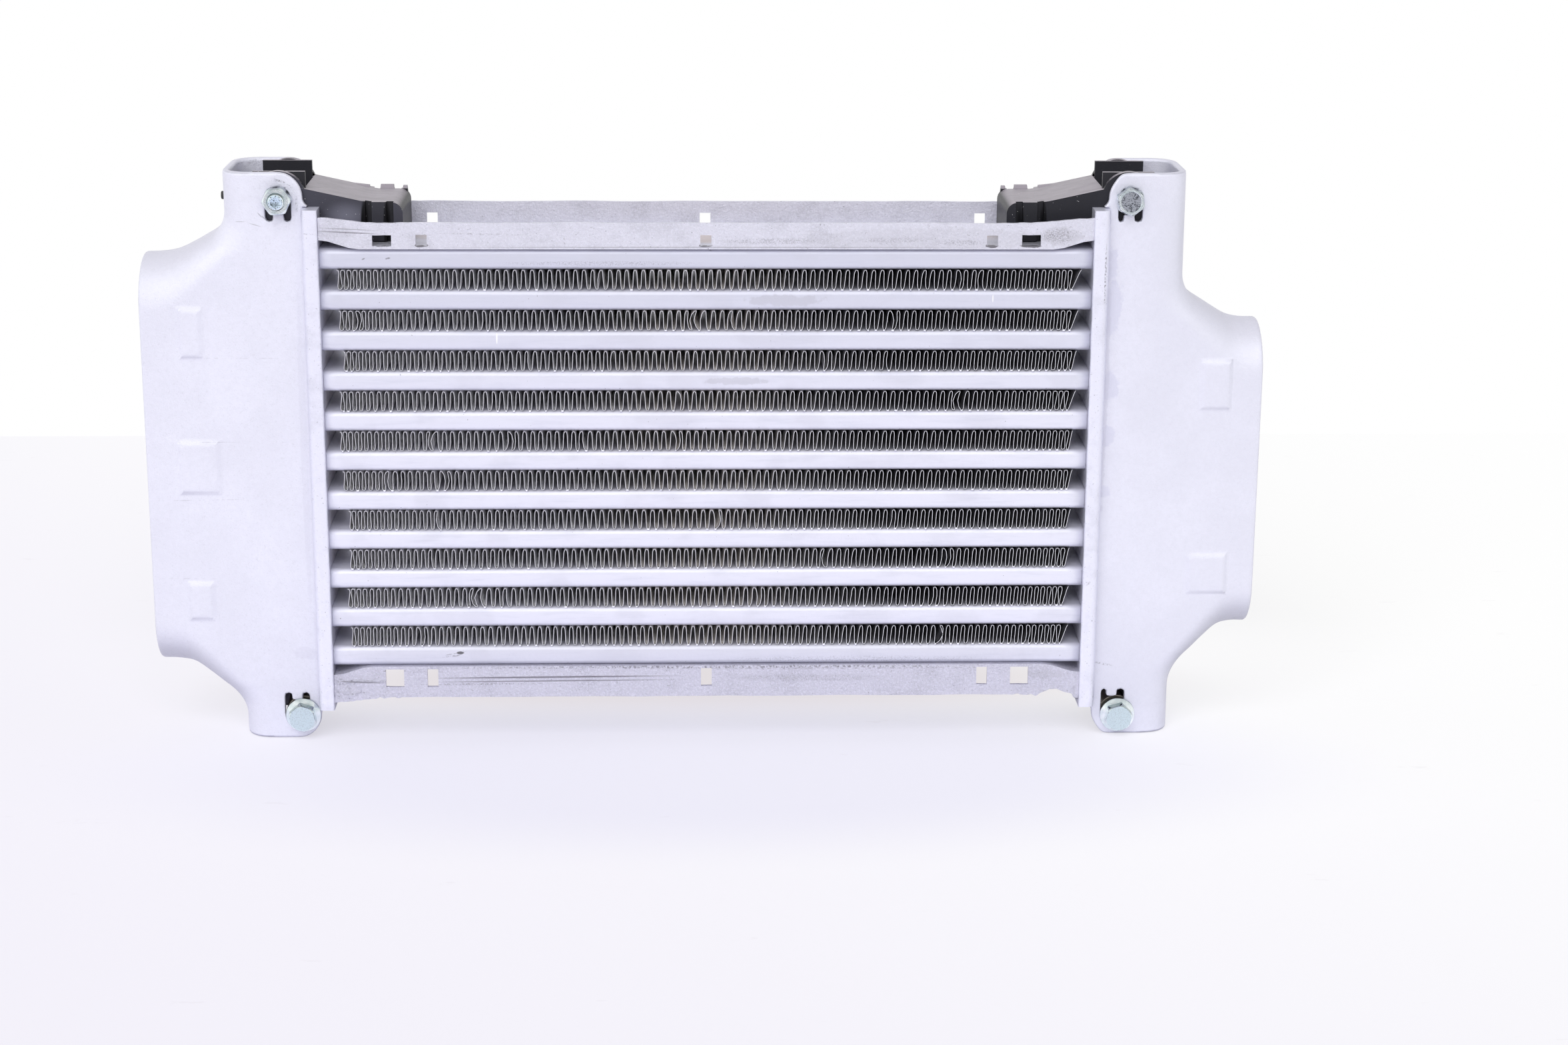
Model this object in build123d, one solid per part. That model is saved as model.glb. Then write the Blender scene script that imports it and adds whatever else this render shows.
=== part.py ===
from build123d import *
import math
import os

# Intercooler: a tube-and-fin core brazed between two rolled headers, with a cast air tank
# welded to each. The tank ends are open U-shaped ears: the upper pair clamps a plastic holder
# on a long bolt, the lower pair clamps a spacer sleeve on a flanged bolt.
# Millimetres. X runs along the tubes, Y is the depth (front at -Y), Z is up from the base.

# ---- clearances ----
GAP = 0.1                       # between separately made pieces
BRAZE = 0.02                    # brazed joint

# ---- tubes and fins ----
CORE_HALF = 148.5               # core centre to the core-side face of a header
TUBE_COUNT = 11
TUBE_PITCH = 16.0
TUBE_TALL = 8.2
TUBE_DEEP = 51.0
TUBE_WALL = 0.6
TUBE_NOSE = 1.6                 # bevel at the corners of the tube section
FIN_SHEET = 0.25
FIN_INSET = 0.3                 # fin edge behind the tube edge
FIN_SHORT = 4.0                 # fin end short of the header
FIN_WAVES = 12                  # simplified count of folds
TURB_SHEET = 0.3
TURB_WAVES = 4

# ---- header ----
SHEET = 2.0
HEAD_RIM = 2.0                  # header depth beyond the tube edge, front and rear
HEAD_THICK = 6.3
HEAD_END = 13.8                 # header end, measured in from the tank end
ROLL = 2.6                      # rolled corner radius

# ---- tank ----
WALL = 2.6
TANK_SPARE = 30.4               # tank length beyond the outer tubes at each end
CORE_LIFT = 1.5                 # core centre above the tank's mid height
TANK_STEP = 4.5                 # tank face behind the tube edge, front and rear
TANK_WIDE = 29.7                # outer side wall, measured from the header
CORNER = 11.0                   # vertical corner radius
POCKET = 20.0                   # depth of the open U at each tank end
FLOOR = 3.0                     # wall between the U and the chamber
EAR_LAP = 0.2                   # ear edge short of the header's outer face
EAR_ROUND = 10.0
EAR_FOOT = 3.8                  # concave foot where the ear meets the header
BOLT_BACK = 9.4                 # bolt axis, measured from the ear edge
BOLT_IN = 10.7                  # bolt axis, measured in from the tank end

# Flare sections: distance beyond the tank's side wall, low edge above the tank's base, high
# edge below its top, and corner radius.
PORT_OUT = 35.0
FLARE_STEP = 0.3                # flare face behind the tank face at the wall
PORT_STEP = 0.9                 # flare face behind the tank face at the mouth
PORT_FLAT = 0.3                 # half of the least flat between two corner arcs
ARC_STEPS = 5                   # straight steps that stand for each quarter arc of a tank
LEFT_FLARE = (
    (-12.5, 12.0, 21.5, 6.0),
    (0.0, 15.0, 23.7, 11.0),
    (14.0, 23.6, 30.6, 18.0),
    (21.0, 27.8, 33.5, 19.6),
    (PORT_OUT, 28.9, 34.6, 19.8),
)
RIGHT_FLARE = (
    (-12.5, 16.0, 42.0, 6.0),
    (0.0, 26.0, 48.5, 11.0),
    (14.0, 37.0, 56.3, 18.0),
    (21.0, 41.6, 59.7, 19.6),
    (PORT_OUT, 42.8, 60.9, 19.8),
)
PAD_INSET = 0.05                # raised clamp pads, behind the front of the tank
# Pads: x from the tank's side wall, then z from mid height.
LEFT_PADS = ((9.5, 18.8, 41.8, 61.5), (4.7, 21.5, -12.7, 8.4), (9.5, 20.1, -64.5, -49.1))
RIGHT_PADS = ((7.5, 20.8, 20.7, 40.5), (4.5, 22.3, -55.0, -38.7))

# ---- side plates ----
PLATE = 1.2
PLATE_RIM = 1.0                 # plate depth beyond the tube edge, front and rear
UPPER_TALL = 10.2
LOWER_TALL = 12.9
SMALL_SLOT = 4.3
WIDE_SLOT = 7.3
SLOT_INSETS = ((39.4, SMALL_SLOT), (24.3, WIDE_SLOT))   # from the header, at each end
BED_RISE = 3.5                  # joggle of the web
BED_RUN = 15.5
EDGE_RISE = 2.0                 # joggle of the flange edge
EDGE_RUN = 24.5

# ---- fasteners ----
BOLT_R = 3.0
HOLE_R = 3.3
HEX_FLATS = 10.0
HEAD_TALL = 4.2
NUT_TALL = 5.0
FLANGE_R = 7.05
FLANGE_TALL = 1.5
FLANGE_HEAD = 6.2
STUB = 1.8
SLEEVE_R = 7.0
PEG_R = 1.6
PEG_SHOWS = 4.1
PEG_DOWN = 12.2                 # peg axis below the tank's top

# ---- plastic holder ----
FORK_T = 2.0
FORK_REACH = 10.0
FORK_DOWN = 0.6                 # fork tops below the tank's top
BOSS_R = 10.6
BOSS_TALL = 2.8                 # boss height on the outer face of a cheek
ARM_LONG = 31.9                 # reach over the side plate, from the header
ARM_WALL = 2.0

HEIGHT = TUBE_PITCH * (TUBE_COUNT - 1) + TUBE_TALL + 2 * TANK_SPARE
CORE_MID = HEIGHT / 2 + CORE_LIFT
PLATE_TOP_BASE = HEIGHT - TANK_SPARE + CORE_LIFT + BRAZE
PLATE_LOW_BASE = TANK_SPARE + CORE_LIFT - BRAZE
FIN_END = CORE_HALF - FIN_SHORT
HEAD_DEEP = TUBE_DEEP + 2 * HEAD_RIM
HEAD_OUT = CORE_HALF + HEAD_THICK
FOOT_DEEP = HEAD_DEEP - 2 * SHEET - 2 * GAP
TANK_DEEP = TUBE_DEEP - 2 * TANK_STEP
PLATE_DEEP = TUBE_DEEP + 2 * PLATE_RIM
TANK_OUT = HEAD_OUT + TANK_WIDE
TANK_INNER = TANK_DEEP / 2 - WALL
EAR_EDGE = HEAD_OUT - EAR_LAP
BOLT_X = EAR_EDGE + BOLT_BACK
ARM_END = CORE_HALF - ARM_LONG
FORK_Y = TANK_INNER - GAP - BOSS_TALL


def block(x0, x1, y0, y1, z0, z1):
    """Box given by its extents."""
    return Pos((x0 + x1) / 2, (y0 + y1) / 2, (z0 + z1) / 2) * Box(x1 - x0, y1 - y0, z1 - z0)


def slab_y(sketch, y0, y1):
    """Sketch drawn as (X, Z), extruded from y0 to y1."""
    return extrude(Plane((0, y1, 0), x_dir=(1, 0, 0), z_dir=(0, -1, 0)) * sketch, amount=y1 - y0)


def slab_x(sketch, x0, x1):
    """Sketch drawn as (Y, Z), extruded from x0 to x1."""
    return extrude(Plane((x0, 0, 0), x_dir=(0, 1, 0), z_dir=(1, 0, 0)) * sketch, amount=x1 - x0)


def rod_y(x, z, radius, y0, y1):
    """Cylinder along Y."""
    return slab_y(Pos(x, z) * Circle(radius), y0, y1)


def ribbon(points, thickness):
    """Thin folded strip: a centre line given half the thickness on each side, with mitred bends."""
    sides = ([], [])
    for i, (px, py) in enumerate(points):
        before = points[max(i - 1, 0)]
        after = points[min(i + 1, len(points) - 1)]
        a = math.atan2(py - before[1], px - before[0]) if i else None
        b = math.atan2(after[1] - py, after[0] - px) if i < len(points) - 1 else a
        a = b if a is None else a
        mid = (a + b) / 2
        reach = thickness / 2 / math.cos((b - a) / 2)
        sides[0].append((px - reach * math.sin(mid), py + reach * math.cos(mid)))
        sides[1].append((px + reach * math.sin(mid), py - reach * math.cos(mid)))
    return make_face(Polyline(sides[0] + sides[1][::-1], close=True))


def bevelled(wide, tall, cut):
    """Rectangle with its corners cut off."""
    return chamfer(Rectangle(wide, tall).vertices(), cut)


def both_ends(shape):
    """A shape and its mirror image about mid height."""
    return shape + mirror(shape, about=Plane.XY.offset(HEIGHT / 2))


# ---------------------------------------------------------------- core

def tube_height(i):
    """Centre height of tube i, counted from the top."""
    return CORE_MID + TUBE_PITCH * ((TUBE_COUNT - 1) / 2 - i)


def make_tube(i):
    """Flat extruded tube with its ends flush with the outer face of the header plates."""
    z = tube_height(i)
    end = CORE_HALF + SHEET
    outer = bevelled(TUBE_DEEP, TUBE_TALL, TUBE_NOSE)
    inner = bevelled(TUBE_DEEP - 2 * TUBE_WALL, TUBE_TALL - 2 * TUBE_WALL, TUBE_NOSE - TUBE_WALL / 2)
    return slab_x(Pos(0, z) * (outer - inner), -end, end)


def zigzag(span, waves, room, z, sheet):
    """Section of a corrugated strip whose folds reach the walls above and below."""
    step = span / (2 * waves)
    lean = math.atan2(room, step)
    half = room / 2 - sheet / 2 / math.cos(lean)
    points = []
    for k in range(2 * waves + 1):
        points.append((k * step - span / 2, z + (half if k % 2 else -half)))
    return ribbon(points, sheet)


def make_inner_fin(i):
    """Corrugated strip inside a tube that touches its upper and lower walls."""
    room = TUBE_TALL - 2 * TUBE_WALL - 2 * BRAZE
    span = TUBE_DEEP - 2 * TUBE_WALL - 2 * TUBE_NOSE
    return slab_x(zigzag(span, TURB_WAVES, room, tube_height(i), TURB_SHEET), -CORE_HALF, CORE_HALF)


def make_fin(i):
    """Corrugated air fin between tube i and tube i + 1."""
    z = (tube_height(i) + tube_height(i + 1)) / 2
    room = TUBE_PITCH - TUBE_TALL - 2 * BRAZE
    half = TUBE_DEEP / 2 - FIN_INSET
    return slab_y(zigzag(2 * FIN_END, FIN_WAVES, room, z, FIN_SHEET), -half, half)


# ---------------------------------------------------------------- headers

def make_header():
    """Slotted plate whose edges are rolled round the foot of the tank. Built for the +X side."""
    low = HEAD_END
    high = HEIGHT - HEAD_END
    shell = block(CORE_HALF, HEAD_OUT, -HEAD_DEEP / 2, HEAD_DEEP / 2, low, high)
    shell = fillet(shell.edges().filter_by(Axis.Z).group_by(Axis.X)[-1], ROLL)
    shell = fillet(shell.edges().filter_by(Axis.Z).group_by(Axis.X)[0], 0.8)
    inside = HEAD_DEEP / 2 - SHEET
    shell -= block(CORE_HALF + SHEET, HEAD_OUT - SHEET, -inside, inside, low + SHEET, high - SHEET)
    throat = TANK_DEEP / 2 + GAP
    shell -= block(HEAD_OUT - SHEET - 1, HEAD_OUT + 1, -throat, throat, POCKET - GAP, HEIGHT - POCKET + GAP)
    for i in range(TUBE_COUNT):
        slot = Pos(0, tube_height(i)) * bevelled(TUBE_DEEP + 2 * BRAZE, TUBE_TALL + 2 * BRAZE, TUBE_NOSE)
        shell -= slab_x(slot, CORE_HALF - 1, CORE_HALF + SHEET + 0.5)
    return shell


# ---------------------------------------------------------------- tanks

def quarter(x, y, radius, first):
    """Points of a quarter arc in straight steps, counter-clockwise from the first angle."""
    turns = [math.radians(first + 90 * k / ARC_STEPS) for k in range(ARC_STEPS + 1)]
    return [(x + radius * math.cos(turn), y + radius * math.sin(turn)) for turn in turns]


def plan(x0, x1, half, radius):
    """Plan outline (X, Y), square at x0 and rounded at x1."""
    right = quarter(x1 - radius, radius - half, radius, 270) + quarter(x1 - radius, half - radius, radius, 0)
    return make_face(Polyline(right + [(x0, half), (x0, -half)], close=True))


def column(sketch, z0, z1):
    """Plan outline extruded from z0 to z1."""
    return extrude(Pos(0, 0, z0) * sketch, amount=z1 - z0)


def stepped_ring(x, low, top, half, radius):
    """Corners, at one x, of a rounded rectangle whose corner arcs are drawn in straight steps."""
    upper = top - radius
    lower = low + radius
    side = half - radius
    points = quarter(side, upper, radius, 0) + quarter(-side, upper, radius, 90)
    points += quarter(-side, lower, radius, 180) + quarter(side, lower, radius, 270)
    return [(x, y, z) for y, z in points]


def polygon(points):
    """Flat face with the given corners."""
    return Face(Wire.make_polygon(points, close=True))


def flare(sections, inset):
    """Flat-sided tube from the tank's wall out to the oval mouth, shrunk by the inset."""
    rings = []
    for out, low, drop, radius in sections:
        half = TANK_DEEP / 2 - FLARE_STEP - (PORT_STEP - FLARE_STEP) * out / PORT_OUT
        arc = min(radius, half - PORT_FLAT)
        top = HEIGHT - drop
        rings.append(stepped_ring(TANK_OUT + out, low + inset, top - inset, half - inset, arc - inset))
    faces = [polygon(rings[0]), polygon(rings[-1])]
    for near, far in zip(rings, rings[1:]):
        for k in range(len(near)):
            after = (k + 1) % len(near)
            if after % (ARC_STEPS + 1):
                faces.append(polygon((near[k], near[after], far[after])))
                faces.append(polygon((near[k], far[after], far[k])))
            else:
                faces.append(polygon((near[k], near[after], far[after], far[k])))
    return Solid(Shell(faces))


def ear_corner():
    """Waste outside the rounded ear corner and its concave foot, at the upper end."""
    base = HEIGHT - HEAD_END + GAP
    foot_x = EAR_EDGE - EAR_FOOT
    foot = quarter(foot_x, base + EAR_FOOT, EAR_FOOT, 270)
    ear = quarter(EAR_EDGE + EAR_ROUND, HEIGHT - EAR_ROUND, EAR_ROUND, 90)[::-1]
    above = [(EAR_EDGE + EAR_ROUND, HEIGHT + 2), (foot_x - 3, HEIGHT + 2), (foot_x - 3, base)]
    outline = make_face(Polyline(foot + ear + above, close=True))
    return slab_y(outline, -TANK_DEEP, TANK_DEEP)


def ear_window():
    """Window under the upper bolt: a slot with two notches and a tongue between them."""
    right = [(1.6, 4.6), (4.9, 2.0), (4.9, -7.7), (4.2, -8.4), (2.8, -8.4), (2.1, -7.7), (2.1, -5.5)]
    left = [(-x, z) for x, z in reversed(right)]
    slot = Pos(BOLT_X, HEIGHT - BOLT_IN) * make_face(Polyline(right + left, close=True))
    return slab_y(slot, -TANK_DEEP / 2 - 1, -TANK_DEEP / 2 + WALL + 0.5)


def make_mouth(sections):
    """Inside of the flare, from the chamber out through the port."""
    wall, middle, throat, rim = sections[1:]
    lowest = POCKET + FLOOR - WALL + 0.4
    stations = []
    for shift, section in ((-4.0, wall), (0.0, middle), (0.0, throat), (2.0, rim)):
        out, low, drop, radius = section
        stations.append((out + shift, max(low, lowest), drop, radius))
    return flare(stations, WALL)


def make_tank(sections, pads):
    """Cast air tank: chamber, flared oval port and an open U at each end. Built for the +X side."""
    half = TANK_DEEP / 2
    foot_x = EAR_EDGE - EAR_FOOT
    start = CORE_HALF + SHEET + GAP
    neck = HEAD_OUT - SHEET - GAP
    edge = HEAD_END + SHEET + GAP
    body = column(plan(foot_x, TANK_OUT, half, CORNER), 0, HEIGHT)
    body -= block(foot_x - 1, HEAD_OUT + GAP, -half - 1, half + 1, HEAD_END - GAP, HEIGHT - HEAD_END + GAP)
    body += flare(sections, 0)
    for x0, x1, z0, z1 in pads:
        pad = block(TANK_OUT + x0, TANK_OUT + x1, PAD_INSET - half, 3 - half, z0, z1)
        body += Pos(0, 0, HEIGHT / 2) * pad
    body += block(neck - 0.3, HEAD_OUT + 1, -half, half, POCKET, HEIGHT - POCKET)
    body += block(start, neck, -FOOT_DEEP / 2, FOOT_DEEP / 2, edge, HEIGHT - edge)

    chamber = plan(HEAD_OUT, TANK_OUT - WALL, TANK_INNER, CORNER - WALL)
    pocket = column(chamber, HEIGHT - POCKET, HEIGHT + 1)
    pocket += block(foot_x - 1, HEAD_OUT + 1, -TANK_INNER, TANK_INNER, HEIGHT - HEAD_END, HEIGHT + 1)
    pocket += ear_corner()
    pocket += ear_window()
    pocket += rod_y(BOLT_X, HEIGHT - BOLT_IN, HOLE_R, TANK_INNER - 1, half + 1)
    body -= both_ends(pocket)

    low = POCKET + FLOOR
    top = HEIGHT - low
    body -= column(chamber, low, top)
    body -= block(start - 1, HEAD_OUT + 1, -TANK_INNER, TANK_INNER, low, top)
    body -= block(start - 1, neck, SHEET - FOOT_DEEP / 2, FOOT_DEEP / 2 - SHEET, low, top)
    return body - make_mouth(sections)


# ---------------------------------------------------------------- side plates

def joggle(level, rise, run):
    """Centre line from end to end that leaves its level by the rise over the last stretch."""
    end = CORE_HALF - GAP
    begin = CORE_HALF - run
    right = []
    for t in (0.0, 0.25, 0.5, 0.75, 1.0):
        right.append((begin + (end - begin) * t, level + rise * (3 * t * t - 2 * t * t * t)))
    left = [(-x, z) for x, z in reversed(right)]
    return left + right


def make_rail(base, tall, up, slot_tall):
    """Channel that lies on a tube, with its ends joggled away and slots through both flanges."""
    bed = joggle(base, up * BED_RISE, BED_RUN)
    edge = joggle(base + up * tall, up * EDGE_RISE, EDGE_RUN)
    web = joggle(base + up * PLATE, up * BED_RISE, BED_RUN)
    clear = joggle(base + up * (tall + 6), up * BED_RISE, BED_RUN)
    half = PLATE_DEEP / 2
    plate = slab_y(make_face(Polyline(bed + edge[::-1], close=True)), -half, half)
    plate -= slab_y(make_face(Polyline(web + clear[::-1], close=True)), PLATE - half, half - PLATE)
    holes = [(0.0, SMALL_SLOT)]
    for inset, width in SLOT_INSETS:
        holes += [(inset - CORE_HALF, width), (CORE_HALF - inset, width)]
    for x, width in holes:
        hole = Pos(x, base + up * (PLATE + slot_tall / 2)) * Rectangle(width, slot_tall)
        plate -= slab_y(hole, -half - 1, half + 1)
    return plate


def make_upper_plate():
    """Upper side plate, flanges up."""
    return make_rail(PLATE_TOP_BASE, UPPER_TALL, 1, 4.3)


def make_lower_plate():
    """Lower side plate, flanges down, with a torn notch in the front flange near its right end."""
    plate = make_rail(PLATE_LOW_BASE, LOWER_TALL, -1, 7.4)
    edge = PLATE_LOW_BASE - LOWER_TALL
    tear = []
    for inset, rise in ((19.0, -1.5), (13.3, 4.6), (10.5, 4.8), (7.3, 2.2), (2.5, -1.5)):
        tear.append((CORE_HALF - inset, edge + rise))
    half = PLATE_DEEP / 2
    return plate - slab_y(make_face(Polyline(tear, close=True)), -half - 1, PLATE + 1 - half)


# ---------------------------------------------------------------- holders

def arm_outline(drop, inset, foot):
    """Side view of the arm (X, Z): low over the side plate and rising to the ear."""
    root = EAR_EDGE - 2 * EAR_LAP - inset
    tip = ARM_END + inset
    crest = HEIGHT - 12.0 - drop
    seat = HEIGHT - HEAD_END + 3 * GAP - foot
    bed = PLATE_TOP_BASE + PLATE + 4 * GAP - foot
    corner = 4.4 - inset
    return make_face(
        Polyline((root, seat), (root, HEIGHT - 6.8 - drop), (CORE_HALF - 4.5, HEIGHT - 9.0 - drop),
                 (CORE_HALF - 15.5, HEIGHT - 11.4 - drop), (CORE_HALF - 19.5, crest), (tip + corner, crest))
        + RadiusArc((tip + corner, crest), (tip, crest - corner), -corner)
        + Polyline((tip, crest - corner), (tip, bed), (CORE_HALF - 16.5, bed), (CORE_HALF - 1.5, seat),
                   (root, seat))
    )


def make_arm():
    """Hollow arm that lies in the channel, with two grooves and a sunk step down each side."""
    half = TANK_INNER - GAP
    arm = slab_y(arm_outline(0, 0, 0), -half, half)
    arm -= slab_y(arm_outline(ARM_WALL, ARM_WALL, 1), 2 * ARM_WALL - half, half - 2 * ARM_WALL)
    low = PLATE_TOP_BASE
    for x0, x1, deep in ((3.6, 6.3, 2.6), (6.2, 12.1, 0.5), (12.0, 14.4, 2.6)):
        for side in (-1, 1):
            y0, y1 = sorted((side * (half + 1), side * (half - deep)))
            arm -= block(ARM_END + x0, ARM_END + x1, y0, y1, low, HEIGHT - 10)
    return arm


def make_holder():
    """Moulded holder: a bolted fork inside the U, carried by the arm. Built for +X."""
    bolt_z = HEIGHT - BOLT_IN
    bottom = HEIGHT - POCKET + 4 * GAP
    seat = HEIGHT - HEAD_END + 3 * GAP
    holder = make_arm()
    for side in (-1, 1):
        y0, y1 = sorted((side * FORK_Y, side * (FORK_Y - FORK_T)))
        cheek = block(EAR_EDGE - 1.5, BOLT_X + FORK_REACH, y0, y1, bottom, HEIGHT - FORK_DOWN)
        y0, y1 = sorted((side * (FORK_Y - 0.5), side * (TANK_INNER - GAP)))
        holder += cheek + rod_y(BOLT_X, bolt_z, BOSS_R, y0, y1)
    holder -= block(CORE_HALF, BOLT_X + 2 * BOSS_R, -TANK_DEEP, TANK_DEEP, bottom - 10, bottom)
    holder -= block(CORE_HALF, HEAD_OUT + 3 * GAP, -TANK_DEEP, TANK_DEEP, bottom - 10, seat)
    return holder - rod_y(BOLT_X, bolt_z, HOLE_R, -TANK_DEEP, TANK_DEEP)


# ---------------------------------------------------------------- fasteners

def hexagon(x, z):
    """Hexagon with one corner up."""
    return Pos(x, z) * RegularPolygon(HEX_FLATS / 2, 6, major_radius=False, rotation=30)


def make_bolt(x, z, face, reach):
    """Plain hexagon bolt whose head sits on the ear at the given side."""
    seat = face * TANK_DEEP / 2
    head = slab_y(hexagon(x, z), *sorted((seat, seat + face * HEAD_TALL)))
    return head + rod_y(x, z, BOLT_R, *sorted((seat, -face * reach)))


def make_flange_bolt(x, z, reach):
    """Flanged hexagon bolt with its head at the front."""
    seat = -TANK_DEEP / 2
    head = rod_y(x, z, FLANGE_R, seat - FLANGE_TALL, seat)
    head += slab_y(hexagon(x, z), seat - FLANGE_HEAD, seat - FLANGE_TALL)
    return head + rod_y(x, z, BOLT_R, seat, reach)


def make_nut(x, z, face):
    """Hexagon nut against the ear at the given side."""
    seat = face * TANK_DEEP / 2
    nut = slab_y(hexagon(x, z), *sorted((seat, seat + face * NUT_TALL)))
    return nut - rod_y(x, z, BOLT_R + BRAZE, -TANK_DEEP, TANK_DEEP)


def make_sleeve(x, z):
    """Spacer sleeve between the ears."""
    half = TANK_INNER - GAP / 2
    return rod_y(x, z, SLEEVE_R, -half, half) - rod_y(x, z, HOLE_R, -half - 1, half + 1)


def make_peg(radius):
    """Locating peg through the tank's side wall. Built for the +X side."""
    return slab_x(Pos(0, HEIGHT - PEG_DOWN) * Circle(radius), TANK_OUT - WALL, TANK_OUT + PEG_SHOWS)


def to_left(shape):
    """Mirror image on the -X side."""
    return mirror(shape, about=Plane.YZ)


def make_all():
    """Every sub-part by name."""
    upper = HEIGHT - BOLT_IN
    reach = TANK_DEEP / 2 + NUT_TALL + STUB
    peg = make_peg(PEG_R)
    left_tank = to_left(make_tank(LEFT_FLARE, LEFT_PADS) - make_peg(PEG_R + BRAZE))
    nodes = {
        "left_tank": left_tank,
        "right_tank": make_tank(RIGHT_FLARE, RIGHT_PADS),
        "left_header": to_left(make_header()),
        "right_header": make_header(),
        "upper_side_plate": make_upper_plate(),
        "lower_side_plate": make_lower_plate(),
        "left_holder": to_left(make_holder()),
        "right_holder": make_holder(),
        "upper_left_bolt": make_bolt(-BOLT_X, upper, 1, reach),
        "upper_left_nut": make_nut(-BOLT_X, upper, -1),
        "upper_right_bolt": make_bolt(BOLT_X, upper, -1, reach),
        "upper_right_nut": make_nut(BOLT_X, upper, 1),
        "left_locating_peg": to_left(peg),
    }
    for side, x in (("left", -BOLT_X), ("right", BOLT_X)):
        nodes[f"lower_{side}_bolt"] = make_flange_bolt(x, BOLT_IN, reach)
        nodes[f"lower_{side}_nut"] = make_nut(x, BOLT_IN, 1)
        nodes[f"lower_{side}_sleeve"] = make_sleeve(x, BOLT_IN)
    for i in range(TUBE_COUNT):
        nodes[f"tube_{i + 1:02d}"] = make_tube(i)
        nodes[f"inner_fin_{i + 1:02d}"] = make_inner_fin(i)
    for i in range(TUBE_COUNT - 1):
        nodes[f"fin_{i + 1:02d}"] = make_fin(i)
    return nodes


os.makedirs("parts", exist_ok=True)
for name, shape in make_all().items():
    solids = shape.solids()
    print(name, len(solids), round(shape.volume, 1), shape.is_valid)
    export_step(solids[0] if len(solids) == 1 else shape, f"parts/{name}.step")
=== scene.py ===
import math
import bmesh
import bpy
import numpy as np
from mathutils import Matrix


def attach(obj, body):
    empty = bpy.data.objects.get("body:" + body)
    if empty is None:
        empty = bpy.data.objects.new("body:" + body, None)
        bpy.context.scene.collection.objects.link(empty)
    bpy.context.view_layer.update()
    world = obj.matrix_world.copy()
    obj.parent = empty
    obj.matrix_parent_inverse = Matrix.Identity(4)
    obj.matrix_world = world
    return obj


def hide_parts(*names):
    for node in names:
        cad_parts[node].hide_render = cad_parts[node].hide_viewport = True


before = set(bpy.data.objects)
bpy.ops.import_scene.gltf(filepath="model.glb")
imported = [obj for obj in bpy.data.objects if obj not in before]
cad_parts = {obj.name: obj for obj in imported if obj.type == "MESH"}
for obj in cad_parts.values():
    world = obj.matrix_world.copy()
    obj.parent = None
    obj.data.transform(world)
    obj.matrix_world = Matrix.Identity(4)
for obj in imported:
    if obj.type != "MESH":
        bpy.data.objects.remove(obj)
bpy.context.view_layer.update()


# ---- end tanks
# Two cast aluminium air tanks with a silvery blasted skin. Each has a flared oval port with
# raised clamp pads, and an open U at both ends whose walls are the ears for the bolts.

mm = 0.001
tank_top = 229.0
tank_mid = tank_top / 2
head_out = 154.8
ear_edge = 154.6
tank_out = 184.5
tank_half = 21.0
tank_corner = 11.0
wall = 2.6
pocket_deep = 20.0
ear_tall = 13.7
foot_tall = 3.8
foot_in = 150.8
neck_in = 152.4
neck_out = 158.0
neck_up = 94.5
flange_in = 150.6
flange_out = 152.7
flange_half = 25.4
flange_up = 98.6
seat_half = 23.4
chamber_in = 149.0
chamber_gap = 3.0
window_half = 4.9
window_down = 3.2
hole_half = 3.3
pad_proud = 0.3
pad_back = 17.0
port_sink = 0.9
bolt_x = 164.0
bolt_in = 10.7
port_out = 35.0
flare_stations = np.array([-12.5, 0.0, 7.0, 14.0, 21.0, 28.0, port_out])
flare_radii = np.array([11.0, 11.0, 14.0, 17.0, 19.0, 19.8, 19.8])
flare_sink = np.array([0.0, 0.15, 0.45, 0.65, 0.8, 0.9, 1.0])
left_edges = (np.array([12.0, 15.0, 19.0, 23.6, 27.6, 28.7, 28.9]),
              np.array([21.5, 23.7, 27.0, 30.6, 33.4, 34.4, 34.6]))
right_edges = (np.array([16.0, 26.0, 31.4, 37.0, 41.4, 42.8, 42.8]),
               np.array([42.0, 48.5, 52.4, 56.3, 59.6, 60.8, 60.9]))
voxel = 1.0
step = 0.02
longest_step = 0.7
longest_way = 3.2
flare_blends = (0.5, 0.5, 0.5, 2.5, 2.5, 5.0, 5.0, 8.0, 8.0, 8.0)
left_pads = ((9.5, 18.8, 41.8, 61.5), (4.7, 21.5, -12.7, 8.4), (9.5, 20.1, -64.5, -49.1))
right_pads = ((7.5, 20.8, 20.7, 40.5), (4.5, 22.3, -55.0, -38.7))


def reworked(mesh, *changes):
    """The mesh after each change(work) to its editable form."""
    work = bmesh.new()
    work.from_mesh(mesh)
    for change in changes:
        change(work)
    work.to_mesh(mesh)
    work.free()
    return mesh


def whole(work):
    """Join loose triangles and make flat faces whole."""
    bmesh.ops.remove_doubles(work, verts=work.verts, dist=2e-6)
    bmesh.ops.dissolve_limit(work, angle_limit=math.radians(0.5), verts=work.verts,
                             edges=work.edges)


def merged_copy(node):
    """The node's mesh made whole, without its material."""
    mesh = reworked(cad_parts[node].data.copy(), whole)
    mesh.materials.clear()
    return mesh


def points_of(mesh):
    """The mesh's points in millimetres, an array of point by xyz."""
    points = np.empty(len(mesh.vertices) * 3, np.float32)
    mesh.vertices.foreach_get("co", points)
    return points.reshape(-1, 3).astype(float) / mm


def moved(mesh, move):
    """The mesh with its points, in millimetres, put where move(points) says."""
    points = move(points_of(mesh))
    mesh.vertices.foreach_set("co", (points * mm).astype(np.float32).ravel())
    return mesh


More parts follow.
